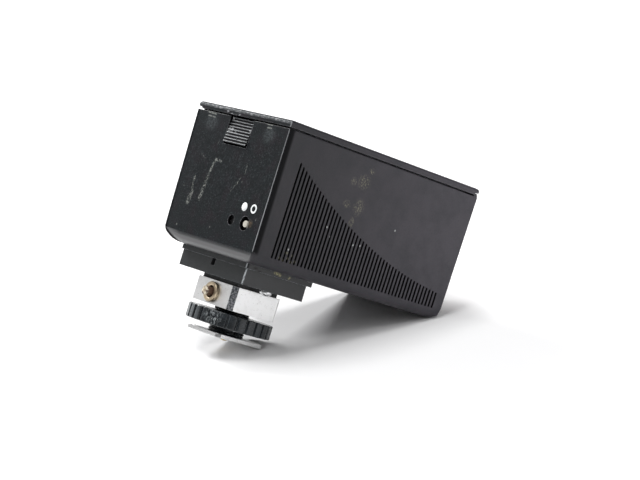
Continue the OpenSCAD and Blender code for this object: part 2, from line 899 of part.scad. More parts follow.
// Four screws from inside the case into the mount plate
module plate_screws() {
    head_r = 1.9;
    head_h = 1.2;
    color(steel) for (sx = [-1, 1], sy = [-1, 1])
        screw_down(
            sx * plate_screw_x, sy * plate_screw_y, floor_top + eps,
            head_r, head_h, plate_screw_r, floor_t + 1.4
        );
}

// Moulded block between the plate and the metal foot
module mount_block() {
    slot_half = 1;
    slot_h = 2.3;
    slot_depth = 2;
    top = plate_low - eps;
    color(soft_black) difference() {
        round_slab(block_half_w, block_rear, block_front, block_low, top, 0.4);
        rod_z(stack_wire_r, 0, 0, block_low - cut, top + cut);
        block([-slot_half, block_rear - cut, top - slot_h], [slot_half, block_rear + slot_depth, top + cut]);
        for (s = [-1, 1]) {
            rod_z(block_screw_r + eps, s * block_screw_x, 0, block_low - cut, top + cut);
            rod_z(foot_screw_r + eps, s * foot_screw_x, 0, block_low - cut, top + cut);
            rod_z(foot_screw_head_r + eps, s * foot_screw_x, 0, top - foot_screw_head_h - 2 * eps, top + cut);
        }
    }
}

// Two domed screws under the block's side wings
module block_screws() {
    dome_r = 2.6;
    head_h = 1.75;
    head_top = block_low - eps;
    color(bare_metal) for (s = [-1, 1]) {
        difference() {
            intersection() {
                rod_z(block_screw_head_r, s * block_screw_x, 0, head_top - head_h, head_top);
                translate([s * block_screw_x, 0, head_top - head_h + dome_r]) sphere(dome_r);
            }
            block(
                [s * block_screw_x - 3, -0.3, head_top - head_h - cut],
                [s * block_screw_x + 3, 0.3, head_top - head_h + 0.7]
            );
        }
        rod_z(block_screw_r, s * block_screw_x, 0, head_top - eps, floor_top - 0.1);
    }
}

// Thin insulating plate between the moulded block and the metal foot
module block_insulator() {
    w = insulator_half_w;
    l = insulator_half_len;
    color(soft_black) difference() {
        round_slab(w, -l, l, insulator_low, block_low - eps, 0.5);
        rod_z(stack_wire_r, 0, 0, insulator_low - cut, block_low + cut);
        for (s = [-1, 1])
            rod_z(foot_screw_r + eps, s * foot_screw_x, 0, insulator_low - cut, block_low + cut);
    }
}

// Bare metal block with chamfered corners that holds the sync socket
module foot_block() {
    w = foot_block_half_w;
    l = foot_block_half_len;
    c = foot_block_chamfer;
    top = insulator_low - eps;
    color(bare_metal) difference() {
        translate([0, 0, foot_block_low]) linear_extrude(top - foot_block_low)
            polygon([
                [-w + c, -l], [w - c, -l], [w, -l + c], [w, l - c],
                [w - c, l], [-w + c, l], [-w, l - c], [-w, -l + c]
            ]);
        rod_z(stack_wire_r, 0, 0, foot_block_low - cut, top + cut);
        rod_z(spigot_r + eps, 0, 0, foot_block_low - cut, foot_block_low + spigot_h + eps);
        rod_y(socket_body_r + eps, 0, socket_rear - cut, socket_rear + socket_depth + eps, socket_z);
        rod_y(socket_lead_r, 0, socket_rear + socket_depth, 0, socket_z);
        for (s = [-1, 1])
            rod_z(foot_screw_r + eps, s * foot_screw_x, 0, foot_screw_low - eps, top + cut);
    }
}

// Two screws that draw the metal foot up to the moulded block
module foot_screws() {
    head_z = plate_low - foot_screw_head_h - 2 * eps;
    color(steel) for (s = [-1, 1])
        screw_down(
            s * foot_screw_x, 0, head_z, foot_screw_head_r, foot_screw_head_h - 2 * eps,
            foot_screw_r, head_z - foot_screw_low
        );
}

// ---- Shoe foot ----

// Threaded post with its spigot in the foot block; the thread is cut as parallel grooves
module foot_post() {
    low = foot_t + eps;
    high = foot_block_low - eps;
    color(soft_black) difference() {
        union() {
            rod_z(post_r, 0, 0, low, high);
            rod_z(spigot_r, 0, 0, high - cut, foot_block_low + spigot_h);
        }
        rod_z(post_bore_r, 0, 0, low - cut, foot_block_low + spigot_h + cut);
        for (z = [low + thread_pitch:thread_pitch:high - thread_pitch / 2]) thread_groove(z);
    }
}

// One groove of the post's thread
module thread_groove(z) {
    translate([0, 0, z]) rotate_extrude() polygon([
        [post_r - thread_depth, 0],
        [post_r + thread_depth, -2 * thread_depth],
        [post_r + thread_depth, 2 * thread_depth]
    ]);
}

// Toothed locking ring
module locking_ring() {
    high = ring_low + ring_h;
    color(soft_black) difference() {
        rod_z(ring_d / 2, 0, 0, ring_low, high);
        rod_z(post_r + run_gap, 0, 0, ring_low - cut, high + cut);
        for (i = [0:ring_teeth - 1]) rotate([0, 0, i * 360 / ring_teeth])
            translate([ring_d / 2, 0, ring_low - cut]) linear_extrude(ring_h + 2 * cut)
                polygon([
                    [-ring_groove_depth, -ring_groove_w / 5], [cut, -ring_groove_w],
                    [cut, ring_groove_w], [-ring_groove_depth, ring_groove_w / 5]
                ]);
    }
}

// Washer under the ring that presses on the camera's shoe
module clamp_washer() {
    high = ring_low - eps;
    color(steel) difference() {
        rod_z(washer_r, 0, 0, high - washer_t, high);
        rod_z(post_r + run_gap, 0, 0, high - washer_t - cut, high + cut);
    }
}

// Flat foot that slides into a camera's accessory shoe
module foot_plate() {
    c = 1.4;
    w = foot_w / 2;
    l = foot_len / 2;
    color(bare_metal) difference() {
        linear_extrude(foot_t) polygon([
            [-w + c, -l], [w - c, -l], [w, -l + c], [w, l - c],
            [w - c, l], [-w + c, l], [-w, l - c], [-w, -l + c]
        ]);
        rod_z(bush_r + eps, 0, 0, -cut, foot_t + cut);
    }
}

// Insulating bush around the centre contact
module contact_bush() {
    flange_low = foot_t + eps;
    color(soft_black) difference() {
        union() {
            rod_z(bush_r, 0, 0, 0.1, flange_low + eps);
            rod_z(bush_flange_r, 0, 0, flange_low, flange_low + bush_flange_t);
        }
        rod_z(contact_r + run_gap, 0, 0, -cut, foot_t + 2 * bush_flange_t);
    }
}

// Sprung centre contact with a domed tip
module contact_pin() {
    dome_r = contact_r * 1.4;
    color(brass) {
        intersection() {
            rod_z(contact_r, 0, 0, -contact_out, contact_head_low + eps);
            translate([0, 0, -contact_out + dome_r]) union() {
                sphere(dome_r);
                cylinder(h = contact_head_low + contact_out, r = dome_r);
            }
        }
        rod_z(contact_head_r, 0, 0, contact_head_low, contact_head_low + contact_head_t);
        rod_z(0.9, 0, 0, contact_head_low, contact_head_low + contact_head_t + 1.2);
    }
}

// Spring behind the centre contact
module contact_spring() {
    color(steel) translate([0, 0, contact_spring_low])
        coil(contact_spring_r, 0.15, 5, contact_spring_high - contact_spring_low - eps);
}

// Brass cap that seats the spring and takes the wire
module spring_cap() {
    color(brass) rod_z(post_bore_r - eps, 0, 0, contact_spring_high, contact_spring_high + cap_t);
}

// ---- Sync socket ----

// Outer sleeve of the socket with its screw collar
module socket_sleeve() {
    collar_rear = socket_rear - socket_out;
    color(brass) difference() {
        union() {
            rod_y(socket_collar_r, 0, collar_rear, socket_rear - eps, socket_z);
            rod_y(socket_body_r, 0, socket_rear - 2 * eps, socket_rear + socket_depth, socket_z);
        }
        rod_y(socket_bore_r, 0, collar_rear - cut, socket_rear + socket_depth + cut, socket_z);
    }
}

// Brown core that holds the centre pin
module socket_insulator() {
    root_y = socket_rear + socket_core_root;
    end_y = socket_rear + socket_depth;
    color([0.36, 0.26, 0.17]) difference() {
        union() {
            rod_y(socket_bore_r - eps, 0, root_y, end_y, socket_z);
            rod_y(socket_core_r, 0, core_rear, root_y + eps, socket_z);
        }
        rod_y(socket_pin_r + eps, 0, core_rear - cut, end_y + cut, socket_z);
    }
}

// Centre pin of the socket
module socket_pin() {
    color(brass)
        rod_y(socket_pin_r, 0, core_rear - eps, socket_rear + socket_depth + socket_tail, socket_z);
}

// Two leads from the socket and the centre contact up to the main board
module sync_wires() {
    wire_r = 0.5;
    lead_y = socket_rear + socket_depth + socket_tail + eps;
    rise_y = -2.2;
    color([0.6, 0.12, 0.1]) {
        rod_z(wire_r, 0, rise_y, socket_z, board_z - eps);
        rod_y(wire_r, 0, lead_y, rise_y, socket_z);
        translate([0, rise_y, socket_z]) sphere(wire_r);
        rod_z(wire_r, 1.2, 1.2, contact_spring_high + cap_t + eps, board_z - eps);
    }
}

case_tub();
top_lid();
hinge_pin();
lid_catch();
catch_pin();
catch_spring();
infrared_window();
reflector();
flash_tube();
tube_caps();
main_board();
board_screws();
main_capacitor();
converter_transformer();
trigger_coil();
power_transistor();
resistors();
battery_tray();
cells();
cell_springs();
cell_plates();
rear_board();
rear_board_screws();
power_switch();
switch_knob();
test_switch();
test_button();
mount_plate();
plate_screws();
mount_block();
block_screws();
block_insulator();
foot_block();
foot_screws();
foot_post();
locking_ring();
clamp_washer();
foot_plate();
contact_bush();
contact_pin();
contact_spring();
spring_cap();
socket_sleeve();
socket_insulator();
socket_pin();
sync_wires();
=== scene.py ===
import functools
from math import asin, atan2, cos, hypot, pi, radians, sin, sqrt, tan

import bmesh
import bpy
from mathutils import Matrix, Vector


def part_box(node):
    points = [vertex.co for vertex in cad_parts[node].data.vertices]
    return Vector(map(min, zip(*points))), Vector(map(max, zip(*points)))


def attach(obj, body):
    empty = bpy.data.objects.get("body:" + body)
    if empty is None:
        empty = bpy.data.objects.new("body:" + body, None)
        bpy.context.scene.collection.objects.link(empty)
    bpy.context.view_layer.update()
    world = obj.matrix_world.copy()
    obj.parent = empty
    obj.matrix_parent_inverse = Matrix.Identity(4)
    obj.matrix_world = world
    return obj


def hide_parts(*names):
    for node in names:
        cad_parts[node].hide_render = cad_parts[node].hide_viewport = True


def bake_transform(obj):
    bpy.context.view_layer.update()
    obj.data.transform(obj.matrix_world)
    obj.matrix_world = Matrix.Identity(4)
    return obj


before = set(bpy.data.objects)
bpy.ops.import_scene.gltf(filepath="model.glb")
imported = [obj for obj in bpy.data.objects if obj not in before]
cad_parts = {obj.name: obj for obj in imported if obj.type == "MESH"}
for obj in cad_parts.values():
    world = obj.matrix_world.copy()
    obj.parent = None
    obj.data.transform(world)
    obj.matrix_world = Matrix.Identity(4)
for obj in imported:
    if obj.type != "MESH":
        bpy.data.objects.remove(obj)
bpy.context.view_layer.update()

# Lengths below are millimetres. Meshes are built in millimetres and stored in metres.
MM = 0.001


def box_mm(node):
    """Lowest and highest corner of a CAD node, in millimetres."""
    low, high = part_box(node)
    return low / MM, high / MM


# ---- Places and sizes that follow from the frame ----

tub_low, tub_high = box_mm("case_tub")
lid_high = box_mm("top_lid")[1]
pin_low, pin_high = box_mm("hinge_pin")
catch_low, catch_high = box_mm("lid_catch")
ring_low, ring_high = box_mm("locking_ring")
post_low, post_high = box_mm("foot_post")
foot_low, foot_high = box_mm("foot_plate")
knob_low, knob_high = box_mm("switch_knob")
button_low, button_high = box_mm("test_button")
catch_pin_low, catch_pin_high = box_mm("catch_pin")
window_low, window_high = box_mm("infrared_window")
block_low, block_high = box_mm("mount_block")
core_low = box_mm("socket_insulator")[0]

SEAM = 0.5
DRAFT = radians(0.8)
LEAN = tan(DRAFT)
WALL = 2.0
FLOOR_T = 2.2
SIDE_FILLET = 4.5
END_FILLET = 4.0
FRONT_FILLET = 2.5

HINGE_Y = (pin_low.y + pin_high.y) / 2
HINGE_Z = (pin_low.z + pin_high.z) / 2
TUB_TOP = HINGE_Z - SEAM / 2
LID_LOW = HINGE_Z + SEAM / 2
CASE_TOP = lid_high.z
CASE_LOW = tub_low.z
FLOOR_TOP = CASE_LOW + FLOOR_T
HALF_W = tub_high.x + (CASE_TOP - TUB_TOP) * LEAN
REAR = tub_low.y - (CASE_TOP - TUB_TOP) * LEAN
FRONT = tub_high.y

CONTROL_Z = (knob_low.z + knob_high.z) / 2
BUTTON_X = (button_low.x + button_high.x) / 2
SWITCH_X = BUTTON_X + 7.3
SWITCH_HOLE_R = 2.35
BUTTON_HOLE_R = 1.7
CORNER_R = 0.3
GROOVE_LOW = CASE_LOW + 3.7

# Thumb catch: pivot, size, lean from upright and the places where its ribs are rubbed, as (x, z, radius)
PIVOT_Y = (catch_pin_low.y + catch_pin_high.y) / 2
PIVOT_Z = (catch_pin_low.z + catch_pin_high.z) / 2
CATCH_H = 8.9
CATCH_T = 1.4
CATCH_LEAN = radians(8.7)
CATCH_MID_Z = TUB_TOP - CATCH_H / 2
RIBS = 9
RIB_H = 0.35
LEG_HALF = 4.5
BARREL_R = 1.2
CATCH_RUBS = [(-6.0, 66.4, 1.6), (-5.8, 70.6, 0.9), (-4.2, 66.6, 1.2), (5.6, 67.4, 0.8), (-2.0, 66.3, 0.7)]


def drop(z):
    """How far a leaning wall has come in at height z."""
    return (CASE_TOP - z) * LEAN


def side_x(z):
    return HALF_W - drop(z)


def rear_y(z):
    return REAR + drop(z)


def front_y(z):
    return FRONT - drop(z)


def lerp(a, b, t):
    return a + (b - a) * t


def smooth(t):
    t = min(1.0, max(0.0, t))
    return t * t * (3 - 2 * t)


# ---- Mesh building ----

def add_object(name, data):
    item = bpy.data.objects.new(name, data)
    bpy.context.scene.collection.objects.link(item)
    return item


def new_object(name, points, faces):
    """Mesh object from points in millimetres."""
    mesh = bpy.data.meshes.new(name)
    mesh.from_pydata([Vector(p) * MM for p in points], [], faces)
    mesh.validate()
    return add_object(name, mesh)


def loft(name, rings, closed=False):
    """Quads between rings of equal length. Open stacks of rings get flat caps."""
    count = len(rings[0])
    points = [p for ring in rings for p in ring]
    rows = len(rings) if closed else len(rings) - 1
    faces = []
    for k in range(rows):
        a, b = k * count, ((k + 1) % len(rings)) * count
        for i in range(count):
            j = (i + 1) % count
            faces.append((a + i, a + j, b + j, b + i))
    if not closed:
        faces.append(tuple(range(count - 1, -1, -1)))
        faces.append(tuple(range(len(points) - count, len(points))))
    return new_object(name, points, faces)


AXES = {
    "x": Matrix(((0, 0, 1), (1, 0, 0), (0, 1, 0))),
    "y": Matrix(((0, 1, 0), (0, 0, 1), (1, 0, 0))),
    "z": Matrix.Identity(3),
}


def circle(centre, axis, radius, along, segments):
    """Loop of points about an axis through centre."""
    return [
        Vector(centre) + AXES[axis] @ Vector((radius * cos(a), radius * sin(a), along))
        for a in (2 * pi * i / segments for i in range(segments))
    ]


def edit(item, change):
    """Runs change(bm) on an object's mesh."""
    bm = bmesh.new()
    bm.from_mesh(item.data)
    change(bm)
    bm.to_mesh(item.data)
    bm.free()
    return item


def fix_normals(item):
    return edit(item, lambda bm: bmesh.ops.recalc_face_normals(bm, faces=bm.faces))


def rounded_box(name, low, high, radius=0.2, segments=2):
    """Block between two corners with rounded edges."""
    low, high = Vector(low), Vector(high)
    middle, size = (low + high) / 2, high - low

    def build(bm):
        bmesh.ops.create_cube(bm, size=1)
        for v in bm.verts:
            v.co = Vector(m + c * s for m, c, s in zip(middle, v.co, size)) * MM
        if radius > 0:
            bmesh.ops.bevel(
                bm, geom=bm.edges[:], offset=radius * MM, segments=segments, affect="EDGES", profile=0.5
            )

    return edit(new_object(name, [], []), build)


def rod(name, radius, start, length, axis, segments=48):
    """Cylinder from start along an axis, for cutting and joining."""
    return fix_normals(loft(name, [circle(start, axis, radius, along, segments) for along in (0, length)]))


def combine(item, operation, tools):
    """Joins tools to item, or cuts them from it, and deletes them."""
    for tool in tools:
        modifier = item.modifiers.new("combine", "BOOLEAN")
        modifier.operation = operation
        modifier.solver = "EXACT"
        modifier.object = tool
    bake(item)
    for tool in tools:
        bpy.data.objects.remove(tool)
    return item


def bake(item):
    """Applies an object's modifiers."""
    bpy.context.view_layer.update()
    shown = item.evaluated_get(bpy.context.evaluated_depsgraph_get())
    mesh = bpy.data.meshes.new_from_object(shown)
    item.modifiers.clear()
    item.data = mesh
    return item


def soften(item, width, chosen=lambda a, b: True, angle=40, segments=2):
    """Rounds the sharp edges whose two ends pass chosen(a, b), given in millimetres."""
    def build(bm):
        bmesh.ops.remove_doubles(bm, verts=bm.verts, dist=0.002 * MM)
        bmesh.ops.dissolve_degenerate(bm, edges=bm.edges, dist=0.002 * MM)
        edges = [
            e for e in bm.edges
            if len(e.link_faces) == 2 and e.calc_face_angle() > radians(angle)
            and chosen(e.verts[0].co / MM, e.verts[1].co / MM)
        ]
        bmesh.ops.bevel(
            bm, geom=edges, offset=width * MM, segments=segments, affect="EDGES",
            profile=0.5, clamp_overlap=True
        )
    return edit(item, build)


def paint(item, material):
    item.data.materials.clear()
    item.data.materials.append(material)


def keep_flat(item):
    """Keeps flat faces flat under smooth shading."""
    modifier = item.modifiers.new("flat faces", "WEIGHTED_NORMAL")
    modifier.keep_sharp = True
    modifier.weight = 60


def finish(item, body, slot, material, *replaced, sharp=42):
    """Gives a built piece its shading, material and body, and hides the CAD nodes it stands for; slot is not
    used.
    """
    item.data.shade_smooth()
    item.data.set_sharp_from_angle(angle=radians(sharp))
    keep_flat(item)
    paint(item, material)
    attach(item, body)
    if replaced:
        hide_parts(*replaced)
    return item


def dress(node, material, bevel, segments=3):
    """Keeps a CAD node, with softened edges and a finished material."""
    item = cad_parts[node]
    paint(item, material)
    weld = item.modifiers.new("weld", "WELD")
    weld.merge_threshold = 0.001 * MM
    if bevel > 0:
        soft = item.modifiers.new("soft edges", "BEVEL")
        soft.width = bevel * MM
        soft.segments = segments
        soft.limit_method = "ANGLE"
        soft.angle_limit = radians(35)
        soft.use_clamp_overlap = True
        soft.harden_normals = False
    for face in item.data.polygons:
        face.use_smooth = True
    keep_flat(item)


# ---- Material building ----

# Directions that a face looks in, and the axes that count on it
BACK = (0, -1, 0)
RIGHT = (1, 0, 0)
REAR_FACE = (1, 0, 1)
SIDE_FACE = (0, 1, 1)


class Graph:
    """Builds one node material with short calls. Sizes are millimetres."""

    def __init__(self, name, world=None):
        self.material = world or bpy.data.materials.new(name)
        self.material.use_nodes = True
        self.tree = self.material.node_tree
        self.tree.nodes.clear()
        coordinates = self.add("TexCoord")
        if world:
            self.point = coordinates.outputs["Generated"]
        else:
            self.point = self.vector("SCALE", coordinates.outputs["Object"], scale=1 / MM)
        self.facing = coordinates.outputs["Normal"]

    def add(self, kind, inputs=None, **settings):
        node = self.tree.nodes.new("ShaderNode" + kind)
        for key, value in settings.items():
            setattr(node, key, value)
        for key, value in (inputs or {}).items():
            self.put(node.inputs[key], value)
        return node

    def put(self, socket, value):
        if isinstance(value, bpy.types.NodeSocket):
            self.tree.links.new(value, socket)
        elif socket.type == "RGBA" and len(value) == 3:
            socket.default_value = (*value, 1)
        else:
            socket.default_value = value

    def math(self, operation, a, b=0.0, clamp=False):
        node = self.add("Math", {0: a, 1: b}, operation=operation, use_clamp=clamp)
        return node.outputs[0]

    def vector(self, operation, a, b=(0, 0, 0), scale=1.0):
        node = self.add("VectorMath", {0: a, 1: b, 3: scale}, operation=operation)
        return node.outputs[1 if operation in ("DOT_PRODUCT", "LENGTH", "DISTANCE") else 0]

    def axis(self, name, vector=None):
        return self.add("SeparateXYZ", {0: vector or self.point}).outputs[name]

    def noise(self, size, detail=2.0, roughness=0.5, stretch=(1, 1, 1), seed=0.0):
        """Noise of 0 to 1 whose features measure about size, longer along stretch."""
        scale = tuple(1 / (size * s) for s in stretch)
        spot = self.vector("MULTIPLY", self.point, scale)
        moved = self.vector("ADD", spot, (seed, seed * 1.7, seed * 2.3))
        node = self.add("TexNoise", {"Vector": moved, "Scale": 1.0, "Detail": detail, "Roughness": roughness})
        return node.outputs[0]

    def flecks(self, size, low, high, roughness, stretch=(1, 1, 1), seed=0.0):
        """Mask of scattered flecks: where noise is above high, fading out below it to low."""
        return self.ramp(self.noise(size, 3, roughness, stretch, seed), low, high)

    def cells(self, size, seed=0.0):
        """Distance to the nearest of scattered points, in cell widths."""
        spot = self.vector("SCALE", self.point, scale=1 / size)
        moved = self.vector("ADD", spot, (seed, seed * 1.3, seed * 2.1))
        return self.add("TexVoronoi", {"Vector": moved, "Scale": 1.0}).outputs["Distance"]

    def ramp(self, value, low, high, to_low=0.0, to_high=1.0):
        """Smooth step of value from low to high."""
        node = self.add(
            "MapRange", {0: value, 1: low, 2: high, 3: to_low, 4: to_high},
            interpolation_type="SMOOTHSTEP"
        )
        return node.outputs[0]

    def mix(self, share, a, b):
        node = self.add("Mix", data_type="RGBA")
        self.put(node.inputs[0], share)
        self.put(node.inputs[6], a)
        self.put(node.inputs[7], b)
        return node.outputs[2]

    def blend(self, share, a, b):
        """Number that goes from a to b."""
        node = self.add("Mix", data_type="FLOAT")
        self.put(node.inputs[0], share)
        self.put(node.inputs[2], a)
        self.put(node.inputs[3], b)
        return node.outputs[0]

    def worn_edges(self, radius, size, low, high, share):
        """Edges rubbed through in broken spots, as a mask."""
        return self.product(self.edge(radius), self.flecks(size, low, high, 0.7, seed=5), share)

    def tones(self, cloud, dark, light):
        """Cloudy mix of two colours."""
        return self.mix(self.ramp(cloud, 0.35, 0.75), dark, light)

    def product(self, *factors):
        return functools.reduce(lambda a, b: self.math("MULTIPLY", a, b), factors)

    def most(self, *values):
        return functools.reduce(lambda a, b: self.math("MAXIMUM", a, b), values)

    def without(self, value, mask):
        """Value outside a mask."""
        return self.product(value, self.math("SUBTRACT", 1.0, mask))

    def edge(self, radius, low=0.02, high=0.25):
        """1 along edges and 0 on flat faces."""
        bevel = self.add("Bevel", {"Radius": radius * MM}, samples=4)
        true = self.add("NewGeometry").outputs["Normal"]
        turn = self.vector("DOT_PRODUCT", bevel.outputs[0], true)
        return self.ramp(self.math("SUBTRACT", 1.0, turn), low, high)

    def faces(self, direction, low=0.55, high=0.85):
        """1 where the surface faces direction."""
        return self.ramp(self.vector("DOT_PRODUCT", self.facing, direction), low, high)

    def band(self, value, low, high, soft):
        """1 where value lies between low and high, with soft ends."""
        above = self.ramp(value, low - soft, low + soft)
        return self.product(above, self.ramp(value, high + soft, high - soft))

    def behind(self, point, direction):
        """Distance from a plane through point, counted along direction."""
        offset = self.vector("SUBTRACT", self.point, tuple(point))
        return self.vector("DOT_PRODUCT", offset, tuple(direction))

    def streak(self, start, end, width):
        """1 along a line on the rear face, between two (x, z) points."""
        start, end = (Vector((x, 0, z)) for x, z in (start, end))
        line = end - start
        spot = self.vector("MULTIPLY", self.point, REAR_FACE)
        offset = self.vector("SUBTRACT", spot, tuple(start))
        along = self.vector("DOT_PRODUCT", offset, tuple(line / line.length_squared))
        share = self.math("ADD", along, 0.0, clamp=True)
        nearest = self.vector("SCALE", tuple(line), scale=share)
        away = self.vector("DISTANCE", offset, nearest)
        return self.ramp(away, width, width * 0.3)

    def streaks(self, lines):
        """1 along lines on the rear face, each given as its two ends and its half width."""
        return self.most(*[self.streak(*line) for line in lines])

    def patch(self, centre, radii, flat):
        """1 at centre, fading to 0 at the radii."""
        spot = self.vector("MULTIPLY", self.point, flat)
        offset = self.vector("SUBTRACT", spot, tuple(centre))
        scaled = self.vector("MULTIPLY", offset, tuple(1 / r for r in radii))
        return self.ramp(self.vector("LENGTH", scaled), 1.0, 0.2)

    def rear_spots(self, spots):
        """1 at spots on the rear face, each given as (x, z, half width, half height)."""
        return self.most(*[self.patch((x, 0, z), (a, 1, b), REAR_FACE) for x, z, a, b in spots])

    def side_spots(self, spots):
        """1 at spots on the side faces, each given as (y, z, half length, half height)."""
        return self.most(*[self.patch((0, y, z), (1, a, b), SIDE_FACE) for y, z, a, b in spots])

    def surface(self, colour, roughness, bumps=None, depth=0.0, shine=0.5, **others):
        """Ends the material with one Principled shader, whose bumps stand up to depth."""
        inputs = {"Base Color": colour, "Roughness": roughness, "Specular IOR Level": shine}
        if bumps is not None:
            bump = self.add("Bump", {"Height": bumps, "Distance": depth * MM, "Strength": 1.0})
            inputs["Normal"] = bump.outputs[0]
        for key, value in others.items():
            inputs[key.replace("_", " ").title().replace("Ior", "IOR")] = value
        self.add("OutputMaterial", {0: self.add("BsdfPrincipled", inputs).outputs[0]})
        return self.material


def wall_depths(g):
    """Distances into the case from its rear wall and from its nearer side wall."""
    along, up = g.axis("Y"), g.axis("Z")
    fall = g.product(g.math("SUBTRACT", CASE_TOP, up), LEAN)
    rear = g.math("SUBTRACT", g.math("SUBTRACT", along, REAR), fall)
    side = g.math("SUBTRACT", g.math("SUBTRACT", HALF_W, fall), g.math("ABSOLUTE", g.axis("X")))
    return rear, side


def rear_scratches(g):
    """Scratches and rubbed spots of the rear face, and pale dashes below the lid seam, as a 0 to 1 mask."""
    deep = g.streaks([
        ((-10.4, 42.0), (-9.4, 49.0), 1.15), ((-9.4, 49.0), (-8.3, 54.6), 0.75),
        ((-8.3, 54.6), (-7.4, 55.8), 0.75), ((-7.4, 55.8), (-4.6, 55.6), 0.6),
        ((-16.2, 40.0), (-15.6, 43.6), 1.4), ((-15.6, 42.6), (-16.3, 48.6), 0.7),
    ])
    faint = g.streaks([
        ((8.2, 52.0), (5.0, 47.0), 0.4), ((9.6, 57.0), (9.7, 53.4), 0.3), ((-16.0, 56.4), (-13.2, 55.3), 0.3),
    ])
    # Pale dashes just below the lid seam.
    dashes = g.streaks([
        ((-19.5, 70.7), (-14.6, 70.5), 0.35), ((-18.6, 69.6), (-14.8, 69.4), 0.35),
        ((14.0, 70.9), (16.5, 70.9), 0.35), ((14.2, 69.8), (16.4, 69.8), 0.35),
    ])
    spots = [(7.2, 50.0), (9.6, 50.7), (-9.0, 61.5), (-0.4, 33.7), (-18.5, 31.6), (22.0, 40.2), (-20.8, 45.0)]
    rubbed = g.rear_spots([(x, z, 0.5, 0.6) for x, z in spots])
    broken = g.flecks(0.7, 0.45, 0.60, 0.75, seed=3)
    thin = g.ramp(g.noise(0.9, 2, 0.6, seed=5), 0.35, 0.5)
    marked = g.most(
        g.product(g.most(deep, rubbed), broken), g.product(dashes, thin), g.product(faint, broken, 0.45)
    )
    return g.product(marked, g.faces(BACK))


def side_dust(g):
    """Pale yellowish specks on the right side, as a 0 to 1 mask."""
    near = g.side_spots([
        (16.9, 62.8, 3.6, 3.4), (18.9, 67.0, 1.6, 1.4), (12.6, 62.0, 1.8, 1.8),
        (17.9, 54.4, 3.0, 3.8), (12.6, 54.4, 2.2, 1.8), (16.8, 49.0, 1.6, 2.4),
    ])
    grain = g.flecks(0.62, 0.47, 0.62, 0.78, seed=11)
    spots = [(-7.5, 30.8), (-5.9, 30.4), (-5.2, 33.0), (-4.2, 31.4), (-2.8, 32.6), (-2.6, 30.5), (-1.0, 31.0)]
    dots = g.side_spots([(y, z, 0.7, 0.7) for y, z in spots])
    return g.product(g.most(g.product(near, grain), g.product(dots, 0.7)), g.faces(RIGHT, 0.2, 0.5))


def side_specks(g):
    """White specks scattered over the right side, as a 0 to 1 mask."""
    spots = [(36.3, 51.0), (7.5, 45.0), (10.1, 42.3), (13.3, 34.9), (20.5, 42.0), (23.5, 42.5), (-5.1, 34.2)]
    return g.product(g.side_spots([(y, z, 0.42, 0.5) for y, z in spots]), g.faces(RIGHT))


# Pale colour of worn plastic, also used for painted highlights on the case's edges and corners.
CASE_WEAR_AND_HIGHLIGHT = (0.42, 0.43, 0.45)


def broken_wear(g):
    """Broken spots in which the case's edges are worn."""
    return g.flecks(0.8, 0.36, 0.6, 0.65, seed=7)


def lid_wear_and_highlight(g, colour, height, rear_corner_wear_and_highlight):
    """The lid's rear edge: its colour with a grey band along the crest as painted highlight, and a mask of
    what is worn through to pale plastic, which also paints highlights on the crest and rear corners.
    """
    # Painted highlight: a grey band along the lid's rounded rear crest, later flecked with wear.
    crest = g.product(g.band(height, CASE_TOP - 1.3, CASE_TOP - 0.3, 0.15), g.faces(BACK, 0.1, 0.3))
    colour = g.mix(g.product(crest, 0.8), colour, (0.055, 0.06, 0.063))
    crest = g.product(crest, g.flecks(0.6, 0.46, 0.64, 0.75, (2.5, 1, 1), seed=8))
    spots = [(-6.3, 71.6), (-2.2, 71.9), (-13.5, 73.0), (-8.8, 72.2), (-4.2, 71.5), (4.0, 72.9)]
    chips = g.product(
        g.rear_spots([(x, z, 1.1, 0.55) for x, z in spots]),
        g.flecks(0.5, 0.42, 0.56, 0.75, seed=28), g.faces(BACK, 0.1, 0.3),
    )
    edge = g.product(g.edge(0.5), broken_wear(g), 0.5, g.ramp(height, CASE_TOP - 0.6, CASE_TOP - 0.9))
    return colour, g.most(edge, g.product(crest, 0.45), g.product(chips, 0.8), g.product(rear_corner_wear_and_highlight, 0.5))


def tub_wear_and_highlight(g, height, along, in_rear, in_side):
    """Worn edges of the tub, as a mask: every edge but the rim's and the grooves', and its rear corners,
    whose pale line is painted highlight as well as wear.
    """
    # Pale line down each rear corner: painted highlight as well as wear.
    corner = g.product(
        g.band(in_rear, -0.6, 0.15, 0.05), g.band(in_side, -0.6, 0.2, 0.05),
        g.ramp(height, TUB_TOP, CASE_LOW + 8, 0.45, 0.8), g.ramp(height, CASE_LOW + 3.2, CASE_LOW + 4.4),
        g.flecks(1.2, 0.2, 0.45, 0.6, (1, 1, 4), seed=17),
    )
    lips = g.product(
        g.ramp(height, GROOVE_LOW - 0.8, GROOVE_LOW - 0.4), g.band(along, REAR + 3, FRONT - 3, 0.2)
    )
    edge = g.product(g.edge(0.5), broken_wear(g), 0.5, g.ramp(height, TUB_TOP - 0.5, TUB_TOP - 1.1))
    return g.most(g.without(edge, lips), corner)


def tub_painted_shade(g, height, along, in_rear, in_side, at_side):
    """Masks of painted shade: the dark strip beside the rear corners, and the grooves and the rear wall's
    deep edge, all painted nearly black.
    """
    strip = g.product(
        g.ramp(in_rear, 0.1, 0.2), g.ramp(in_rear, 3.1, 1.9),
        g.ramp(height, CASE_LOW + 2.6, CASE_LOW + 4.4), g.ramp(at_side, 0.5, 0.8), g.ramp(in_side, 0.9, 0.8),
    )
    groove = g.product(
        g.band(in_side, 0.17, 1.2, 0.1), g.band(along, REAR + 3, FRONT - 3, 0.2),
        g.ramp(height, GROOVE_LOW - 0.1, GROOVE_LOW + 0.2),
    )
    deep = g.product(
        g.ramp(in_rear, 0.22, 0.4), g.ramp(in_rear, 2.6, 2.2), g.ramp(in_side, 2.4, 2.8),
        g.ramp(height, CASE_LOW + 4.2, CASE_LOW + 4.6),
    )
    return strip, g.most(groove, deep)


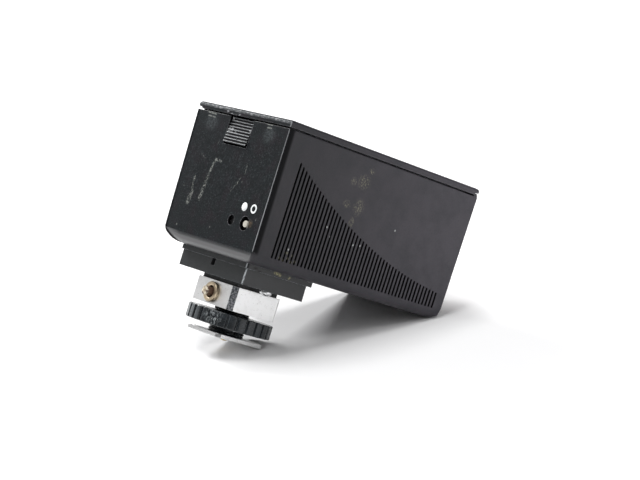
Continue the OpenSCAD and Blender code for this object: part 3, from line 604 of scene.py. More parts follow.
def tub_marks(g, colour, at_rear):
    """Scratches, smudges, dust and specks on the tub: its colour, and a mask of what they leave dull."""
    scratched, dust = rear_scratches(g), side_dust(g)
    smudged = g.product(
        g.rear_spots([(-15.9, 67.6, 5, 4), (16.2, 67.6, 4.5, 4)]), at_rear,
        g.flecks(0.8, 0.3, 0.7, 0.7, seed=6),
    )
    worn_hole = g.rear_spots([(SWITCH_X + 3.0, CONTROL_Z + 0.4, 1.7, 1.7)])
    colour = g.mix(g.product(scratched, 0.62), colour, (0.27, 0.28, 0.26))
    colour = g.mix(g.product(smudged, 0.6), colour, (0.075, 0.085, 0.09))
    colour = g.mix(g.product(dust, 0.55), colour, (0.25, 0.235, 0.17))
    colour = g.mix(g.product(side_specks(g), 0.8), colour, (0.45, 0.46, 0.46))
    colour = g.mix(g.product(worn_hole, at_rear, broken_wear(g), 0.7), colour, (0.14, 0.10, 0.06))
    return colour, g.most(scratched, dust)


def case_plastic(name, rear, side, lid=False):
    """Spark-textured black plastic, duller at the rear, with wear and dust; its rear faces are painted darker
    and bluish as painted shade, its sides carry a painted light falloff from rear to front, its rear bottom
    fillet a painted floor reflection, and its hollows painted shade.
    """
    g = Graph(name)
    at_rear = g.faces(BACK, 0.6, 0.8)
    at_side = g.math("ABSOLUTE", g.vector("DOT_PRODUCT", g.facing, RIGHT))
    height, along = g.axis("Z"), g.axis("Y")
    in_rear, in_side = wall_depths(g)
    cloud = g.noise(7, 4, 0.6)
    grain = g.noise(0.5, 3, 0.7)
    warm = g.flecks(5, 0.45, 0.68, 0.6, seed=21)
    # Painted shade: rear faces take a darker, bluer tone than the side faces of the same plastic, with random
    # warm mottles on the rear.
    bluish = g.mix(warm, rear, (rear[0] * 2.1, rear[1] * 1.05, rear[2] * 1.25))
    # Painted light falloff: the side colour is painted darker towards the rear and lighter towards the front.
    sides_painted_falloff = g.mix(g.ramp(along, -30, 75), tuple(c * 0.66 for c in side), tuple(c * 1.8 for c in side))
    colour = g.mix(at_rear, sides_painted_falloff, bluish)
    colour = g.mix(g.ramp(cloud, 0.35, 0.75, 0, 0.35), colour, tuple(c * 1.9 for c in rear))
    sparkle = g.product(g.ramp(grain, 0.53, 0.68), g.blend(at_rear, 0.05, 0.40))
    colour = g.mix(sparkle, colour, (0.060, 0.071, 0.077))
    dark_grain = g.product(g.ramp(grain, 0.48, 0.36), g.blend(at_rear, 0.15, 0.85))
    colour = g.mix(dark_grain, colour, tuple(c * 0.3 for c in rear))
    # Painted reflection: the rear bottom fillet is painted pale where it mirrors the bright floor.
    under = g.product(g.faces((0, -0.707, -0.707), 0.82, 0.97), g.ramp(height, 36, 30))
    colour = g.mix(under, colour, (0.135, 0.136, 0.138))
    roughness = g.blend(cloud, 0.40, 0.52)
    rim = g.product(g.ramp(in_rear, 1.8, 1.2), g.ramp(height, CASE_TOP - 0.8, CASE_TOP - 0.5))
    shine = g.blend(rim, g.blend(at_rear, 0.30, 0.10), 0.01)
    if lid:
        # The lid's rear corners are painted pale: painted highlight as well as wear.
        rear_corner_wear_and_highlight = g.product(g.band(in_rear, -0.5, 0.25, 0.08), g.band(in_side, -0.5, 0.25, 0.08))
        colour, worn = lid_wear_and_highlight(g, colour, height, rear_corner_wear_and_highlight)
        colour = g.mix(worn, colour, CASE_WEAR_AND_HIGHLIGHT)
    else:
        strip, groove = tub_painted_shade(g, height, along, in_rear, in_side, at_side)
        # Painted shade: a dark strip on the sides beside each rear corner.
        colour = g.mix(g.product(strip, 0.93), colour, (0.0015, 0.0018, 0.0022))
        # Painted shade: the grooves and the faces set into the rear wall, painted nearly black.
        colour = g.mix(groove, colour, (0.001, 0.001, 0.0012))
        colour = g.mix(tub_wear_and_highlight(g, height, along, in_rear, in_side), colour, CASE_WEAR_AND_HIGHLIGHT)
        colour, dull = tub_marks(g, colour, at_rear)
        roughness = g.blend(dull, roughness, 0.8)
        shine = g.blend(g.most(groove, g.product(strip, 0.85)), shine, 0.05)
    fine = g.noise(0.18, 1, 0.5, seed=4)
    surface = g.without(g.math("ADD", grain, g.product(fine, 0.5)), rim)
    return g.surface(colour, roughness, surface, 0.035, shine)


def moulded(name, colour, light, roughness, grain=0.3, wear=0.35, worn_colour=(0.3, 0.31, 0.32)):
    """Moulded plastic with fine grain, uneven tone and rubbed edges."""
    g = Graph(name)
    cloud = g.noise(4, 3, 0.6)
    tone = g.tones(cloud, colour, light)
    tone = g.mix(g.worn_edges(0.35, 0.6, 0.36, 0.6, wear), tone, worn_colour)
    fine = g.noise(grain, 2, 0.6, seed=2)
    tone = g.mix(g.ramp(fine, 0.6, 0.75, 0, 0.3), tone, tuple(c * 2.2 for c in light))
    rough = g.blend(cloud, roughness - 0.06, roughness + 0.08)
    return g.surface(tone, rough, fine, 0.012)


def mount_finish(name):
    """Black plastic of the mount, rubbed bright along its near rear edge, with dirt at the plate's side, its
    right faces painted lighter as painted light, and painted shadow in two slits.
    """
    g = Graph(name)
    cloud = g.noise(4, 3, 0.6)
    at_right = g.faces(RIGHT)
    tone = g.tones(cloud, (0.006, 0.0085, 0.0095), (0.014, 0.016, 0.0175))
    # Painted light: faces that look right are painted lighter than the rest of the black plastic.
    tone = g.mix(g.product(at_right, 0.5), tone, (0.046, 0.045, 0.047))
    fine = g.noise(0.4, 3, 0.7, seed=2)
    tone = g.mix(g.ramp(fine, 0.56, 0.72, 0, 0.3), tone, (0.06, 0.065, 0.07))
    tone = g.mix(g.worn_edges(0.3, 0.6, 0.42, 0.6, 0.7), tone, (0.30, 0.32, 0.34))
    near_edge = g.product(
        g.band(g.axis("X"), block_high.x - 0.35, block_high.x + 0.2, 0.1),
        g.ramp(g.axis("Y"), block_low.y + 0.45, block_low.y + 0.3),
    )
    rubbed = g.flecks(0.8, 0.36, 0.52, 0.7, (1, 1, 1.6), seed=12)
    tone = g.mix(g.product(near_edge, rubbed), tone, (0.42, 0.45, 0.47))
    dirt = g.side_spots([(-1.9, 25.7, 1.5, 0.8), (-0.4, 25.5, 1.0, 0.8), (3.8, 25.4, 0.7, 0.8)])
    dirt = g.product(dirt, at_right, g.flecks(0.5, 0.45, 0.58, 0.75, seed=13))
    tone = g.mix(g.product(dirt, 0.8), tone, (0.42, 0.38, 0.18))
    # Painted shadow: two black slits between the plate and the block.
    painted_gap_shadow = g.side_spots([(-10.8, 25.3, 1.5, 0.5), (-8.8, 24.7, 1.5, 0.5)])
    tone = g.mix(g.product(painted_gap_shadow, at_right), tone, (0.001, 0.001, 0.001))
    rough = g.blend(cloud, 0.40, 0.54)
    return g.surface(tone, rough, fine, 0.02, 0.4)


def ring_finish(name):
    """Glossy black plastic of the ring and post, scuffed white on the rear left, with faces looking back and
    left painted lighter as painted light.
    """
    g = Graph(name)
    cloud = g.noise(3, 3, 0.6)
    tone = g.tones(cloud, (0.007, 0.009, 0.011), (0.018, 0.022, 0.026))
    # Painted light: faces that look back and left are painted lighter.
    painted_rear_left_light = g.faces((-0.35, -0.94, 0), 0.86, 0.98)
    tone = g.mix(g.product(painted_rear_left_light, 0.8), tone, (0.08, 0.09, 0.097))
    fine = g.noise(0.45, 3, 0.75, seed=2)
    tone = g.mix(g.ramp(fine, 0.58, 0.74, 0, 0.5), tone, (0.07, 0.08, 0.085))
    scuffed = g.patch((6.6, -11.9, 6.2), (4.4, 4.4, 3.4), (1, 1, 1))
    lines = g.ramp(g.noise(0.45, 4, 0.8, (1, 1, 2.5), seed=16), 0.48, 0.62)
    tone = g.mix(g.product(scuffed, lines), tone, (0.42, 0.45, 0.46))
    tone = g.mix(g.worn_edges(0.3, 0.6, 0.4, 0.6, 0.6), tone, (0.36, 0.39, 0.40))
    rough = g.blend(cloud, 0.2, 0.34)
    return g.surface(tone, rough, fine, 0.015)


def block_finish(name):
    """Bare die-cast metal, with dark speckled chamfers between bright lines that are painted edge highlights.
    """
    g = Graph(name)
    stain = g.ramp(g.noise(2.2, 4, 0.65, seed=9), 0.48, 0.75)
    tone = g.mix(g.product(stain, 0.2), (0.84, 0.84, 0.84), (0.56, 0.55, 0.53))
    lines = g.noise(0.25, 3, 0.65, (1, 1, 9), seed=1)
    pits = g.product(g.ramp(g.noise(0.5, 2, 0.6, seed=6), 0.64, 0.74), 0.5)
    tone = g.mix(pits, tone, (0.22, 0.21, 0.18))
    chamfer = g.faces((0.7071, -0.7071, 0), 0.88, 0.97)
    speckle = g.flecks(0.55, 0.38, 0.66, 0.8, seed=18)
    tone = g.mix(chamfer, tone, g.mix(speckle, (0.10, 0.11, 0.125), (0.62, 0.63, 0.66)))
    # Painted highlight: edges painted nearly white.
    tone = g.mix(g.product(g.edge(0.28), 0.8), tone, (0.93, 0.93, 0.93))
    rough = g.math("ADD", g.blend(lines, 0.26, 0.46), g.product(stain, 0.15))
    return g.surface(tone, rough, lines, 0.004, metallic=1.0)


def core_finish(name):
    """Brown moulded core of the socket, with a pale end that is a painted highlight of its rim as well as rub
    wear.
    """
    g = Graph(name)
    tone = g.mix(g.noise(1.5, 3, 0.6), (0.055, 0.030, 0.020), (0.16, 0.095, 0.065))
    # Pale end: painted highlight of the rim as well as rub wear.
    end = g.ramp(g.axis("Y"), core_low.y + 0.75, core_low.y + 0.35)
    broken = g.flecks(0.9, 0.40, 0.52, 0.7, seed=19)
    tone = g.mix(g.product(end, broken), tone, (0.62, 0.56, 0.44))
    return g.surface(tone, 0.38, broken, 0.03)


def catch_finish(name):
    """Black plastic of the catch, with the crests of its ribs grey from rubbing and painted highlight, and
    painted shade between the ribs.
    """
    g = Graph(name)
    turn = Matrix.Rotation(-CATCH_LEAN, 3, "X")
    middle = Vector((0, rear_y(CATCH_MID_Z), CATCH_MID_Z))
    depth = g.behind(middle, turn @ Vector((0, 1, 0)))
    # Rib crests painted grey: painted highlight as well as rub wear, stronger on the lower, prouder ribs.
    crest = g.product(g.ramp(depth, 0.075, 0.02), g.faces(BACK, 0.1, 0.3))
    # Painted shade: the hollows between the ribs are painted nearly black.
    painted_rib_shade = g.ramp(depth, 0.10, 0.22)
    uneven = g.ramp(g.noise(1.4, 3, 0.65, (3, 1, 1), seed=14), 0.3, 0.5, 0.35, 1.0)
    tone = g.mix(g.noise(3, 3, 0.6), (0.010, 0.012, 0.014), (0.018, 0.021, 0.024))
    tone = g.mix(painted_rib_shade, tone, (0.002, 0.002, 0.0025))
    lower = g.ramp(g.axis("Z"), 68.5, 65.5, 0.4, 0.75)
    tone = g.mix(g.product(crest, uneven, lower), tone, (0.24, 0.255, 0.27))
    rubbed = g.rear_spots([(x, z, r, r) for x, z, r in CATCH_RUBS])
    rubbed = g.product(rubbed, g.flecks(0.5, 0.4, 0.55, 0.7, seed=15), g.faces(BACK, 0.1, 0.3))
    tone = g.mix(g.product(rubbed, 0.8), tone, (0.45, 0.46, 0.47))
    tone = g.mix(g.worn_edges(0.3, 0.5, 0.4, 0.6, 0.5), tone, (0.35, 0.36, 0.37))
    fine = g.noise(0.25, 2, 0.6, seed=2)
    shine = g.blend(painted_rib_shade, 0.35, 0.04)
    return g.surface(tone, 0.42, fine, 0.012, shine)


def metal(name, colour, dark, roughness, stretch=(1, 1, 1), stains=0.35):
    """Bare metal with machining lines, faint stains and edges painted brighter as painted highlights."""
    g = Graph(name)
    stain = g.ramp(g.noise(2.2, 4, 0.65, seed=9), 0.48, 0.75)
    tone = g.mix(g.product(stain, stains), colour, dark)
    lines = g.noise(0.25, 3, 0.65, stretch, seed=1)
    pits = g.product(g.ramp(g.noise(0.5, 2, 0.6, seed=6), 0.66, 0.74), 0.6)
    tone = g.mix(pits, tone, tuple(c * 0.35 for c in dark))
    # Painted highlight: edges painted brighter.
    edge = g.product(g.edge(0.3), 0.6)
    tone = g.mix(edge, tone, tuple(min(1, c * 1.15) for c in colour))
    rough = g.math("ADD", g.blend(lines, roughness - 0.08, roughness + 0.12), g.product(stain, 0.15))
    return g.surface(tone, rough, lines, 0.004, metallic=1.0)


def board_finish(name):
    """Green circuit board with tinned tracks and pads."""
    g = Graph(name)
    mask = g.noise(6, 2, 0.5)
    tone = g.mix(mask, (0.012, 0.09, 0.035), (0.02, 0.14, 0.055))
    weave = g.product(
        g.ramp(g.math("PINGPONG", g.axis("X"), 0.9), 0.28, 0.42),
        g.ramp(g.noise(3.2, 1, 0.4, (1, 3, 1), seed=8), 0.5, 0.54),
    )
    tone = g.mix(g.product(weave, 0.5), tone, (0.03, 0.2, 0.08))
    pads = g.ramp(g.cells(2.6, seed=3), 0.2, 0.14)
    tone = g.mix(g.product(pads, 0.8), tone, (0.55, 0.55, 0.52))
    height = g.math("ADD", weave, pads)
    return g.surface(tone, 0.38, height, 0.03, metallic=g.product(pads, 0.9))


def glass_finish(name):
    """Clear glass with a faint haze."""
    g = Graph(name)
    haze = g.ramp(g.noise(3, 3, 0.6), 0.4, 0.8, 0.02, 0.14)
    tone = g.mix(haze, (0.93, 0.97, 0.98), (0.7, 0.75, 0.78))
    return g.surface(tone, haze, transmission_weight=0.95, ior=1.47)


def filter_finish(name):
    """Dark red infrared filter, nearly black, with fine rub marks."""
    g = Graph(name)
    cloud = g.noise(12, 3, 0.5)
    rub = g.ramp(g.noise(0.3, 2, 0.6, (14, 1, 1), seed=12), 0.62, 0.75)
    tone = g.mix(cloud, (0.030, 0.002, 0.004), (0.055, 0.004, 0.007))
    tone = g.mix(g.product(rub, 0.06), tone, (0.4, 0.3, 0.3))
    rough = g.math("ADD", g.blend(cloud, 0.07, 0.14), g.product(rub, 0.2))
    return g.surface(tone, rough, coat_weight=0.5, coat_roughness=0.05)


def jacket_finish(name):
    """Printed cell jacket: dark body with a plain pale band and a metal end."""
    g = Graph(name)
    along = g.axis("Y")
    band = g.product(g.ramp(along, 33.5, 33.8), g.ramp(along, 43.2, 42.9))
    tone = g.mix(g.noise(7, 2, 0.5), (0.05, 0.07, 0.10), (0.07, 0.095, 0.13))
    tone = g.mix(band, tone, (0.55, 0.50, 0.38))
    bare = g.ramp(along, 46.9, 47.05)
    tone = g.mix(bare, tone, (0.68, 0.68, 0.66))
    scuff = g.flecks(0.5, 0.6, 0.72, 0.7, (1, 6, 1), seed=2)
    tone = g.mix(g.product(scuff, 0.25), tone, (0.5, 0.5, 0.5))
    rough = g.blend(scuff, 0.28, 0.5)
    return g.surface(tone, rough, scuff, 0.01, metallic=bare)


def print_finish(name):
    """White printing ink, slightly chipped and greyed."""
    g = Graph(name)
    chips = g.flecks(0.35, 0.62, 0.72, 0.7, seed=5)
    tone = g.mix(g.noise(1.2, 2, 0.5), (0.72, 0.76, 0.77), (0.86, 0.88, 0.88))
    tone = g.mix(g.product(chips, 0.5), tone, (0.25, 0.27, 0.28))
    return g.surface(tone, 0.6, chips, 0.01)


CASE = case_plastic("case_plastic", rear=(0.0042, 0.0062, 0.0076), side=(0.026, 0.0235, 0.029))
LID = case_plastic("lid_plastic", rear=(0.0065, 0.009, 0.0105), side=(0.026, 0.0235, 0.029), lid=True)
CATCH = catch_finish("catch_plastic")
MOUNT = mount_finish("mount_plastic")
RING = ring_finish("ring_plastic")
INNER = moulded("inner_plastic", (0.018, 0.018, 0.02), (0.03, 0.03, 0.032), 0.45, wear=0.15)
BLOCK_METAL = block_finish("bare_metal")
FOOT_METAL = metal("foot_metal", (0.72, 0.72, 0.72), (0.40, 0.39, 0.38), 0.27, (7, 1, 1))
STEEL = metal("steel", (0.62, 0.62, 0.63), (0.36, 0.34, 0.32), 0.25)
SCREW = metal("screw_steel", (0.78, 0.78, 0.79), (0.45, 0.44, 0.43), 0.2)
GOLD = metal("contact_gold", (0.86, 0.67, 0.32), (0.50, 0.36, 0.16), 0.22)
COLLAR = metal("socket_brass", (0.60, 0.50, 0.36), (0.25, 0.19, 0.12), 0.34, stains=0.8)
REFLECTOR = metal("reflector_metal", (0.86, 0.87, 0.88), (0.7, 0.71, 0.72), 0.12, (12, 1, 1), stains=0.15)
CORE = core_finish("core_plastic")
KNOB = moulded(
    "knob_plastic", (0.33, 0.31, 0.26), (0.50, 0.48, 0.42), 0.45, wear=0.2, worn_colour=(0.6, 0.58, 0.52)
)
BUTTON = moulded("button_plastic", (0.006, 0.006, 0.007), (0.012, 0.012, 0.013), 0.3, wear=0.5)
BOARD = board_finish("board")
DARK_PART = moulded("component_dark", (0.008, 0.008, 0.009), (0.018, 0.018, 0.02), 0.35, wear=0.2)
BLUE_PART = moulded("capacitor_sleeve", (0.02, 0.035, 0.09), (0.03, 0.05, 0.12), 0.25, wear=0.2)
TAN_PART = moulded("component_tan", (0.42, 0.30, 0.17), (0.55, 0.42, 0.26), 0.4, wear=0.2)
COIL_PART = moulded("coil_wax", (0.30, 0.15, 0.04), (0.42, 0.24, 0.08), 0.35, grain=0.2, wear=0.1)
JACKET = jacket_finish("cell_jacket")
WIRE = moulded("wire_sleeve", (0.35, 0.02, 0.015), (0.45, 0.04, 0.03), 0.4, wear=0.1)
GLASS = glass_finish("glass")
FILTER = filter_finish("filter")
INK = print_finish("white_print")


# ---- Case shell ----

# Steps round a row of the case: those of a corner and those of an end wall
CORNER_STEPS = 6
WALL_STEPS = 12
LOW_CORNER_R = 2.2
INNER_CORNER_R = 0.8
RIM_R = 0.22
GROOVES = 47
GROOVE_PITCH = 1.6
GROOVE_DEPTH = 0.55
GROOVE_FIRST = (REAR + FRONT) / 2 - GROOVE_PITCH * 21.86
GROOVE_LIP = 0.35
GROOVES_FRONT = 75.55
GROOVES_LENGTH = 86.3
GROOVES_LOW_H = 8.7
GROOVES_RISE = 27.1
# Half section of a groove: distance from its centre line, and share of its depth
GROOVE_SECTION = [(0.42, 0.0), (0.36, 0.1), (0.30, 0.75), (0.22, 1.0)]
# End of a groove or rebate: distance past its end, and share of its depth
END_SECTION = [(-0.08, 0.0), (0.0, 0.12), (0.1, 0.75), (GROOVE_LIP, 1.0)]
# Rebate beside each rear edge: distance from the corner, and share of its depth
REBATE_SECTION = [
    (0.0, 0.0), (0.06, 0.3), (0.14, 0.9), (0.28, 1.0),
    (0.65, 0.72), (1.0, 0.47), (1.4, 0.24), (1.8, 0.08), (2.3, 0.0),
]
REBATE_DEPTH = 0.35
# The stretch of side wall whose rows keep their place along the case
FIXED_REAR = -12.2
FIXED_FRONT = 64.0


def groove_high(y):
    """Height of the top of the groove at y: a parabola that rises towards the rear."""
    span = min(1.0, max(0.0, (GROOVES_FRONT - y) / GROOVES_LENGTH))
    return CASE_LOW + GROOVES_LOW_H + GROOVES_RISE * span ** 2


def fillet_in(z, low, r):
    """How far a bottom fillet of radius r, starting at low, has pulled a wall in at height z."""
    up = z - low
    if up >= r:
        return 0.0
    return r - sqrt(max(0.0, r * r - (r - up) ** 2))


def outer_corner(z):
    share = smooth((CASE_LOW + SIDE_FILLET - z) / SIDE_FILLET)
    return lerp(CORNER_R, LOW_CORNER_R, share)


def case_rows():
    """Rows of the shell from the underside, up the outside, over the rim and down to the floor.

    A row is (height(y, r), inset(z, r), corner radius(z), groove share, rebate share)."""
    rows = []

    def outside(height, groove=0.0, rebate=0.0):
        rows.append((height, lambda z, r: fillet_in(z, CASE_LOW, r), outer_corner, groove, rebate))

    for k in range(8):
        angle = radians(10.3 * k)
        outside(lambda y, r, a=angle: CASE_LOW + r * (1 - cos(a)) * 0.98)
    for past, depth in END_SECTION:
        outside(lambda y, r, p=past: GROOVE_LOW + p, depth, depth)
    for share in (0.1, 0.5, 0.9):
        outside(lambda y, r, s=share: lerp(GROOVE_LOW + GROOVE_LIP, groove_high(y) - GROOVE_LIP, s), 1.0, 1.0)
    for past, depth in reversed(END_SECTION):
        outside(lambda y, r, p=past: groove_high(y) - p, depth, 1.0)
    for share in (0.1, 0.6, 1.0):
        outside(lambda y, r, s=share: lerp(groove_high(y) + 0.3, TUB_TOP - RIM_R, s), 0.0, 1.0)
    for k in (1, 2, 3):
        angle = radians(30 * k)
        rows.append((
            lambda y, r, a=angle: TUB_TOP - RIM_R * (1 - sin(a)),
            lambda z, r, a=angle: RIM_R * (1 - cos(a)), lambda z: CORNER_R, 0.0, 1.0 - k / 3,
        ))
    for k in (3, 2, 1, 0):
        angle = radians(30 * k)
        rows.append((
            lambda y, r, a=angle: TUB_TOP - RIM_R * (1 - sin(a)),
            lambda z, r, a=angle: WALL - RIM_R * (1 - cos(a)), lambda z: INNER_CORNER_R, 0.0, 0.0,
        ))
    for share in (0.3, 0.7, 1.0):
        rows.append((
            lambda y, r, s=share: lerp(TUB_TOP - RIM_R, FLOOR_TOP + r - WALL, s),
            lambda z, r: WALL, lambda z: INNER_CORNER_R, 0.0, 0.0,
        ))
    for k in (5, 4, 3, 2, 1, 0):
        angle = radians(15 * k)
        rows.append((
            lambda y, r, a=angle: FLOOR_TOP + (r - WALL) * (1 - cos(a)),
            lambda z, r: WALL + fillet_in(z, FLOOR_TOP, r - WALL), lambda z: INNER_CORNER_R, 0.0, 0.0,
        ))
    return rows


def side_columns():
    """Columns of one side wall from rear to front: (y at the case top, groove share, rebate share)."""
    columns = [(REAR + CORNER_R + away, 0.0, share) for away, share in REBATE_SECTION]
    columns += [(-15.0, 0.0, 0.0), (FIXED_REAR, 0.0, 0.0)]
    for i in range(GROOVES):
        centre = GROOVE_FIRST + i * GROOVE_PITCH
        columns += [(centre - away, share, 0.0) for away, share in GROOVE_SECTION]
        columns += [(centre + away, share, 0.0) for away, share in reversed(GROOVE_SECTION)]
    columns += [(FIXED_FRONT, 0.0, 0.0), (66.0, 0.0, 0.0), (FRONT - CORNER_R, 0.0, 0.0)]
    return columns


def case_ring(row, columns):
    """One row of the shell as a loop of points, anticlockwise seen from above."""
    height, inset, corner, groove, rebate = row
    rear_z = height(REAR, END_FILLET)
    front_z = height(FRONT, FRONT_FILLET)
    rear = rear_y(rear_z) + inset(rear_z, END_FILLET)
    front = front_y(front_z) - inset(front_z, FRONT_FILLET)

    def half(y):
        z = height(y, SIDE_FILLET)
        return z, side_x(z) - inset(z, SIDE_FILLET)

    side = []
    rear_end = rear + corner(rear_z)
    front_end = front - corner(front_z)
    for y, in_groove, in_rebate in columns:
        z, x = half(y)
        if y < FIXED_REAR:
            y = lerp(FIXED_REAR, rear_end, (FIXED_REAR - y) / (FIXED_REAR - REAR - CORNER_R))
        elif y > FIXED_FRONT:
            y = lerp(FIXED_FRONT, front_end, (y - FIXED_FRONT) / (FRONT - CORNER_R - FIXED_FRONT))
        depth = GROOVE_DEPTH * in_groove * groove + REBATE_DEPTH * in_rebate * rebate
        side.append((x - depth, y, z))

    def corner_points(y_wall, y_ref, z_wall, sign):
        """Points between the side wall and an end wall, from the side's end."""
        z_side, x = half(y_ref)
        r = corner(z_side)
        points = []
        for k in range(1, CORNER_STEPS + 1):
            a = radians(90 * k / CORNER_STEPS)
            points.append((
                x - r + r * cos(a), y_wall - sign * r + sign * r * sin(a),
                lerp(z_side, z_wall, k / CORNER_STEPS),
            ))
        return points

    front_right = corner_points(front, FRONT, front_z, 1)
    rear_right = corner_points(rear, REAR, rear_z, -1)
    front_x, rear_x = front_right[-1][0], rear_right[-1][0]
    shares = [k / WALL_STEPS for k in range(1, WALL_STEPS)]
    front_wall = [(lerp(front_x, -front_x, share), front, front_z) for share in shares]
    rear_wall = [(lerp(-rear_x, rear_x, share), rear, rear_z) for share in shares]

    def mirrored(points):
        return [(-x, y, z) for x, y, z in reversed(points)]

    return (
        side + front_right + front_wall + mirrored(front_right) + mirrored(side)
        + mirrored(rear_right) + rear_wall + list(reversed(rear_right))
    )


KNUCKLE_R = 0.85
RELIEF_R = 1.3
KNUCKLE_L = 10.0
RELIEF_L = 10.2
HINGE_HALF = pin_high.x
KNUCKLE_IN = 8.0
KNUCKLE_OUT = 18.0
KNUCKLE_END = HALF_W - 0.6
CATCH_HALF = catch_high.x
NOTCH_GAP = 0.25
NOTCH_LOW = TUB_TOP - CATCH_H - 0.55
BARB_LOW = catch_low.z
WIRE_HOLE_R = 3.2
WINDOW_FRAME = 1.9
BOSS_R, BOSS_H, BOSS_X = 2.5, 3.8, 17
REAR_BOSS_R, REAR_BOSS_L = 2.0, 5.0


def hinge_rod(name, radius, x, length):
    """Rod along the lid's hinge, from x towards the right."""
    return rod(name, radius, (x, HINGE_Y, HINGE_Z), length, "x")


def case_shell():
    """Tub with grooves, rebates, fillets, openings, knuckles, bosses and the catch's ledge."""
    columns = side_columns()
    item = loft("case_shell", [case_ring(row, columns) for row in case_rows()])
    reach = WALL + 2
    cuts = [
        rounded_box(
            "notch", (-CATCH_HALF - NOTCH_GAP, REAR - 1, NOTCH_LOW),
            (CATCH_HALF + NOTCH_GAP, REAR + reach, CASE_TOP), 0
        ),
        rod("switch_hole", SWITCH_HOLE_R, (SWITCH_X, REAR - 1, CONTROL_Z), reach + 1, "y"),
        rod("button_hole", BUTTON_HOLE_R, (BUTTON_X, REAR - 1, CONTROL_Z), reach + 1, "y"),
        rounded_box(
            "window_seat", (window_low.x - 0.1, window_low.y, window_low.z - 0.1),
            (window_high.x + 0.1, FRONT + 1, window_high.z + 0.1), 0
        ),
        rounded_box(
            "window_hole", (window_low.x + WINDOW_FRAME, FRONT - 6, window_low.z + WINDOW_FRAME),
            (window_high.x - WINDOW_FRAME, FRONT, window_high.z - WINDOW_FRAME), 0
        ),
        hinge_rod("relief_right", RELIEF_R, KNUCKLE_IN - 0.1, RELIEF_L),
        hinge_rod("relief_left", RELIEF_R, -KNUCKLE_OUT - 0.1, RELIEF_L),
        rod("wire_hole", WIRE_HOLE_R, (0, 0, CASE_LOW - 1), 4, "z"),
    ]
    combine(item, "DIFFERENCE", cuts)

    def rim(a, b):
        on_rear = all(abs(p.y - rear_y(p.z)) < 0.03 and p.z > CASE_LOW + 6 for p in (a, b))
        on_front = all(abs(p.y - front_y(p.z)) < 0.03 and p.z < TUB_TOP - 2 for p in (a, b))
        return on_rear or on_front

    soften(item, 0.16, rim, angle=50)
    joins = [
        hinge_rod("knuckle_middle", KNUCKLE_R, -KNUCKLE_IN + 0.1, 2 * KNUCKLE_IN - 0.2),
        hinge_rod("knuckle_right", KNUCKLE_R, KNUCKLE_OUT + 0.1, KNUCKLE_END - KNUCKLE_OUT - 0.1),
        hinge_rod("knuckle_left", KNUCKLE_R, -KNUCKLE_END, KNUCKLE_END - KNUCKLE_OUT - 0.1),
        rounded_box(
            "ledge", (-5, rear_y(BARB_LOW) + 1, BARB_LOW + 1.15), (5, REAR + 3.35, NOTCH_LOW), 0.1
        ),
    ]
    for s in (-1, 1):
        x0, x1 = sorted((s * 9, s * (HALF_W - 2.4)))
        joins.append(rounded_box(
            f"lip_{s}", (x0, REAR + 0.9, TUB_TOP - 0.6), (x1, REAR + 1.6, LID_LOW - 0.1), 0.1
        ))
        for y in (-4.0, 44.0):
            joins.append(rod(f"boss_{s}_{y}", BOSS_R, (BOSS_X * s, y, CASE_LOW + 1), BOSS_H, "z"))
    for x in (BUTTON_X - 4, SWITCH_X + 3.7):
        joins.append(rod(f"rear_boss_{x}", REAR_BOSS_R, (x, REAR + 1.5, CONTROL_Z + 5.5), REAR_BOSS_L, "y"))
    combine(item, "UNION", joins)
    combine(item, "DIFFERENCE", [hinge_rod("pin_bore", 0.47, -HINGE_HALF - 1, 2 * HINGE_HALF + 2)])
    return finish(item, "case", "case_plastic", CASE, "case_tub", sharp=48)


# ---- Lid ----

LID_EDGE_R = 1.0
LID_LOW_R = 0.2
OUTER_RELIEF_L = 12
RIB_DROP = 1.5
RIB_T = 1.1
LUG_T = 2
LUG_HALF = 1.5


def rounded_rectangle(half, rear, front, r, z, corner_steps=6, side_steps=24, end_steps=12):
    """Loop of points of a rounded rectangle, anticlockwise seen from above, starting at its rear right."""
    centres = [(half - r, front - r), (r - half, front - r), (r - half, rear + r), (half - r, rear + r)]
    points = []
    for i, (x, y) in enumerate(centres):
        before_x, before_y = centres[i - 1]
        steps = end_steps if i % 2 else side_steps
        out_x, out_y = ((r, 0), (0, r), (-r, 0), (0, -r))[i]
        for k in range(steps):
            share = k / steps
            points.append((lerp(before_x, x, share) + out_x, lerp(before_y, y, share) + out_y, z))
        for k in range(corner_steps):
            a = radians(90 * (i + k / corner_steps))
            points.append((x + r * cos(a), y + r * sin(a), z))
    return points


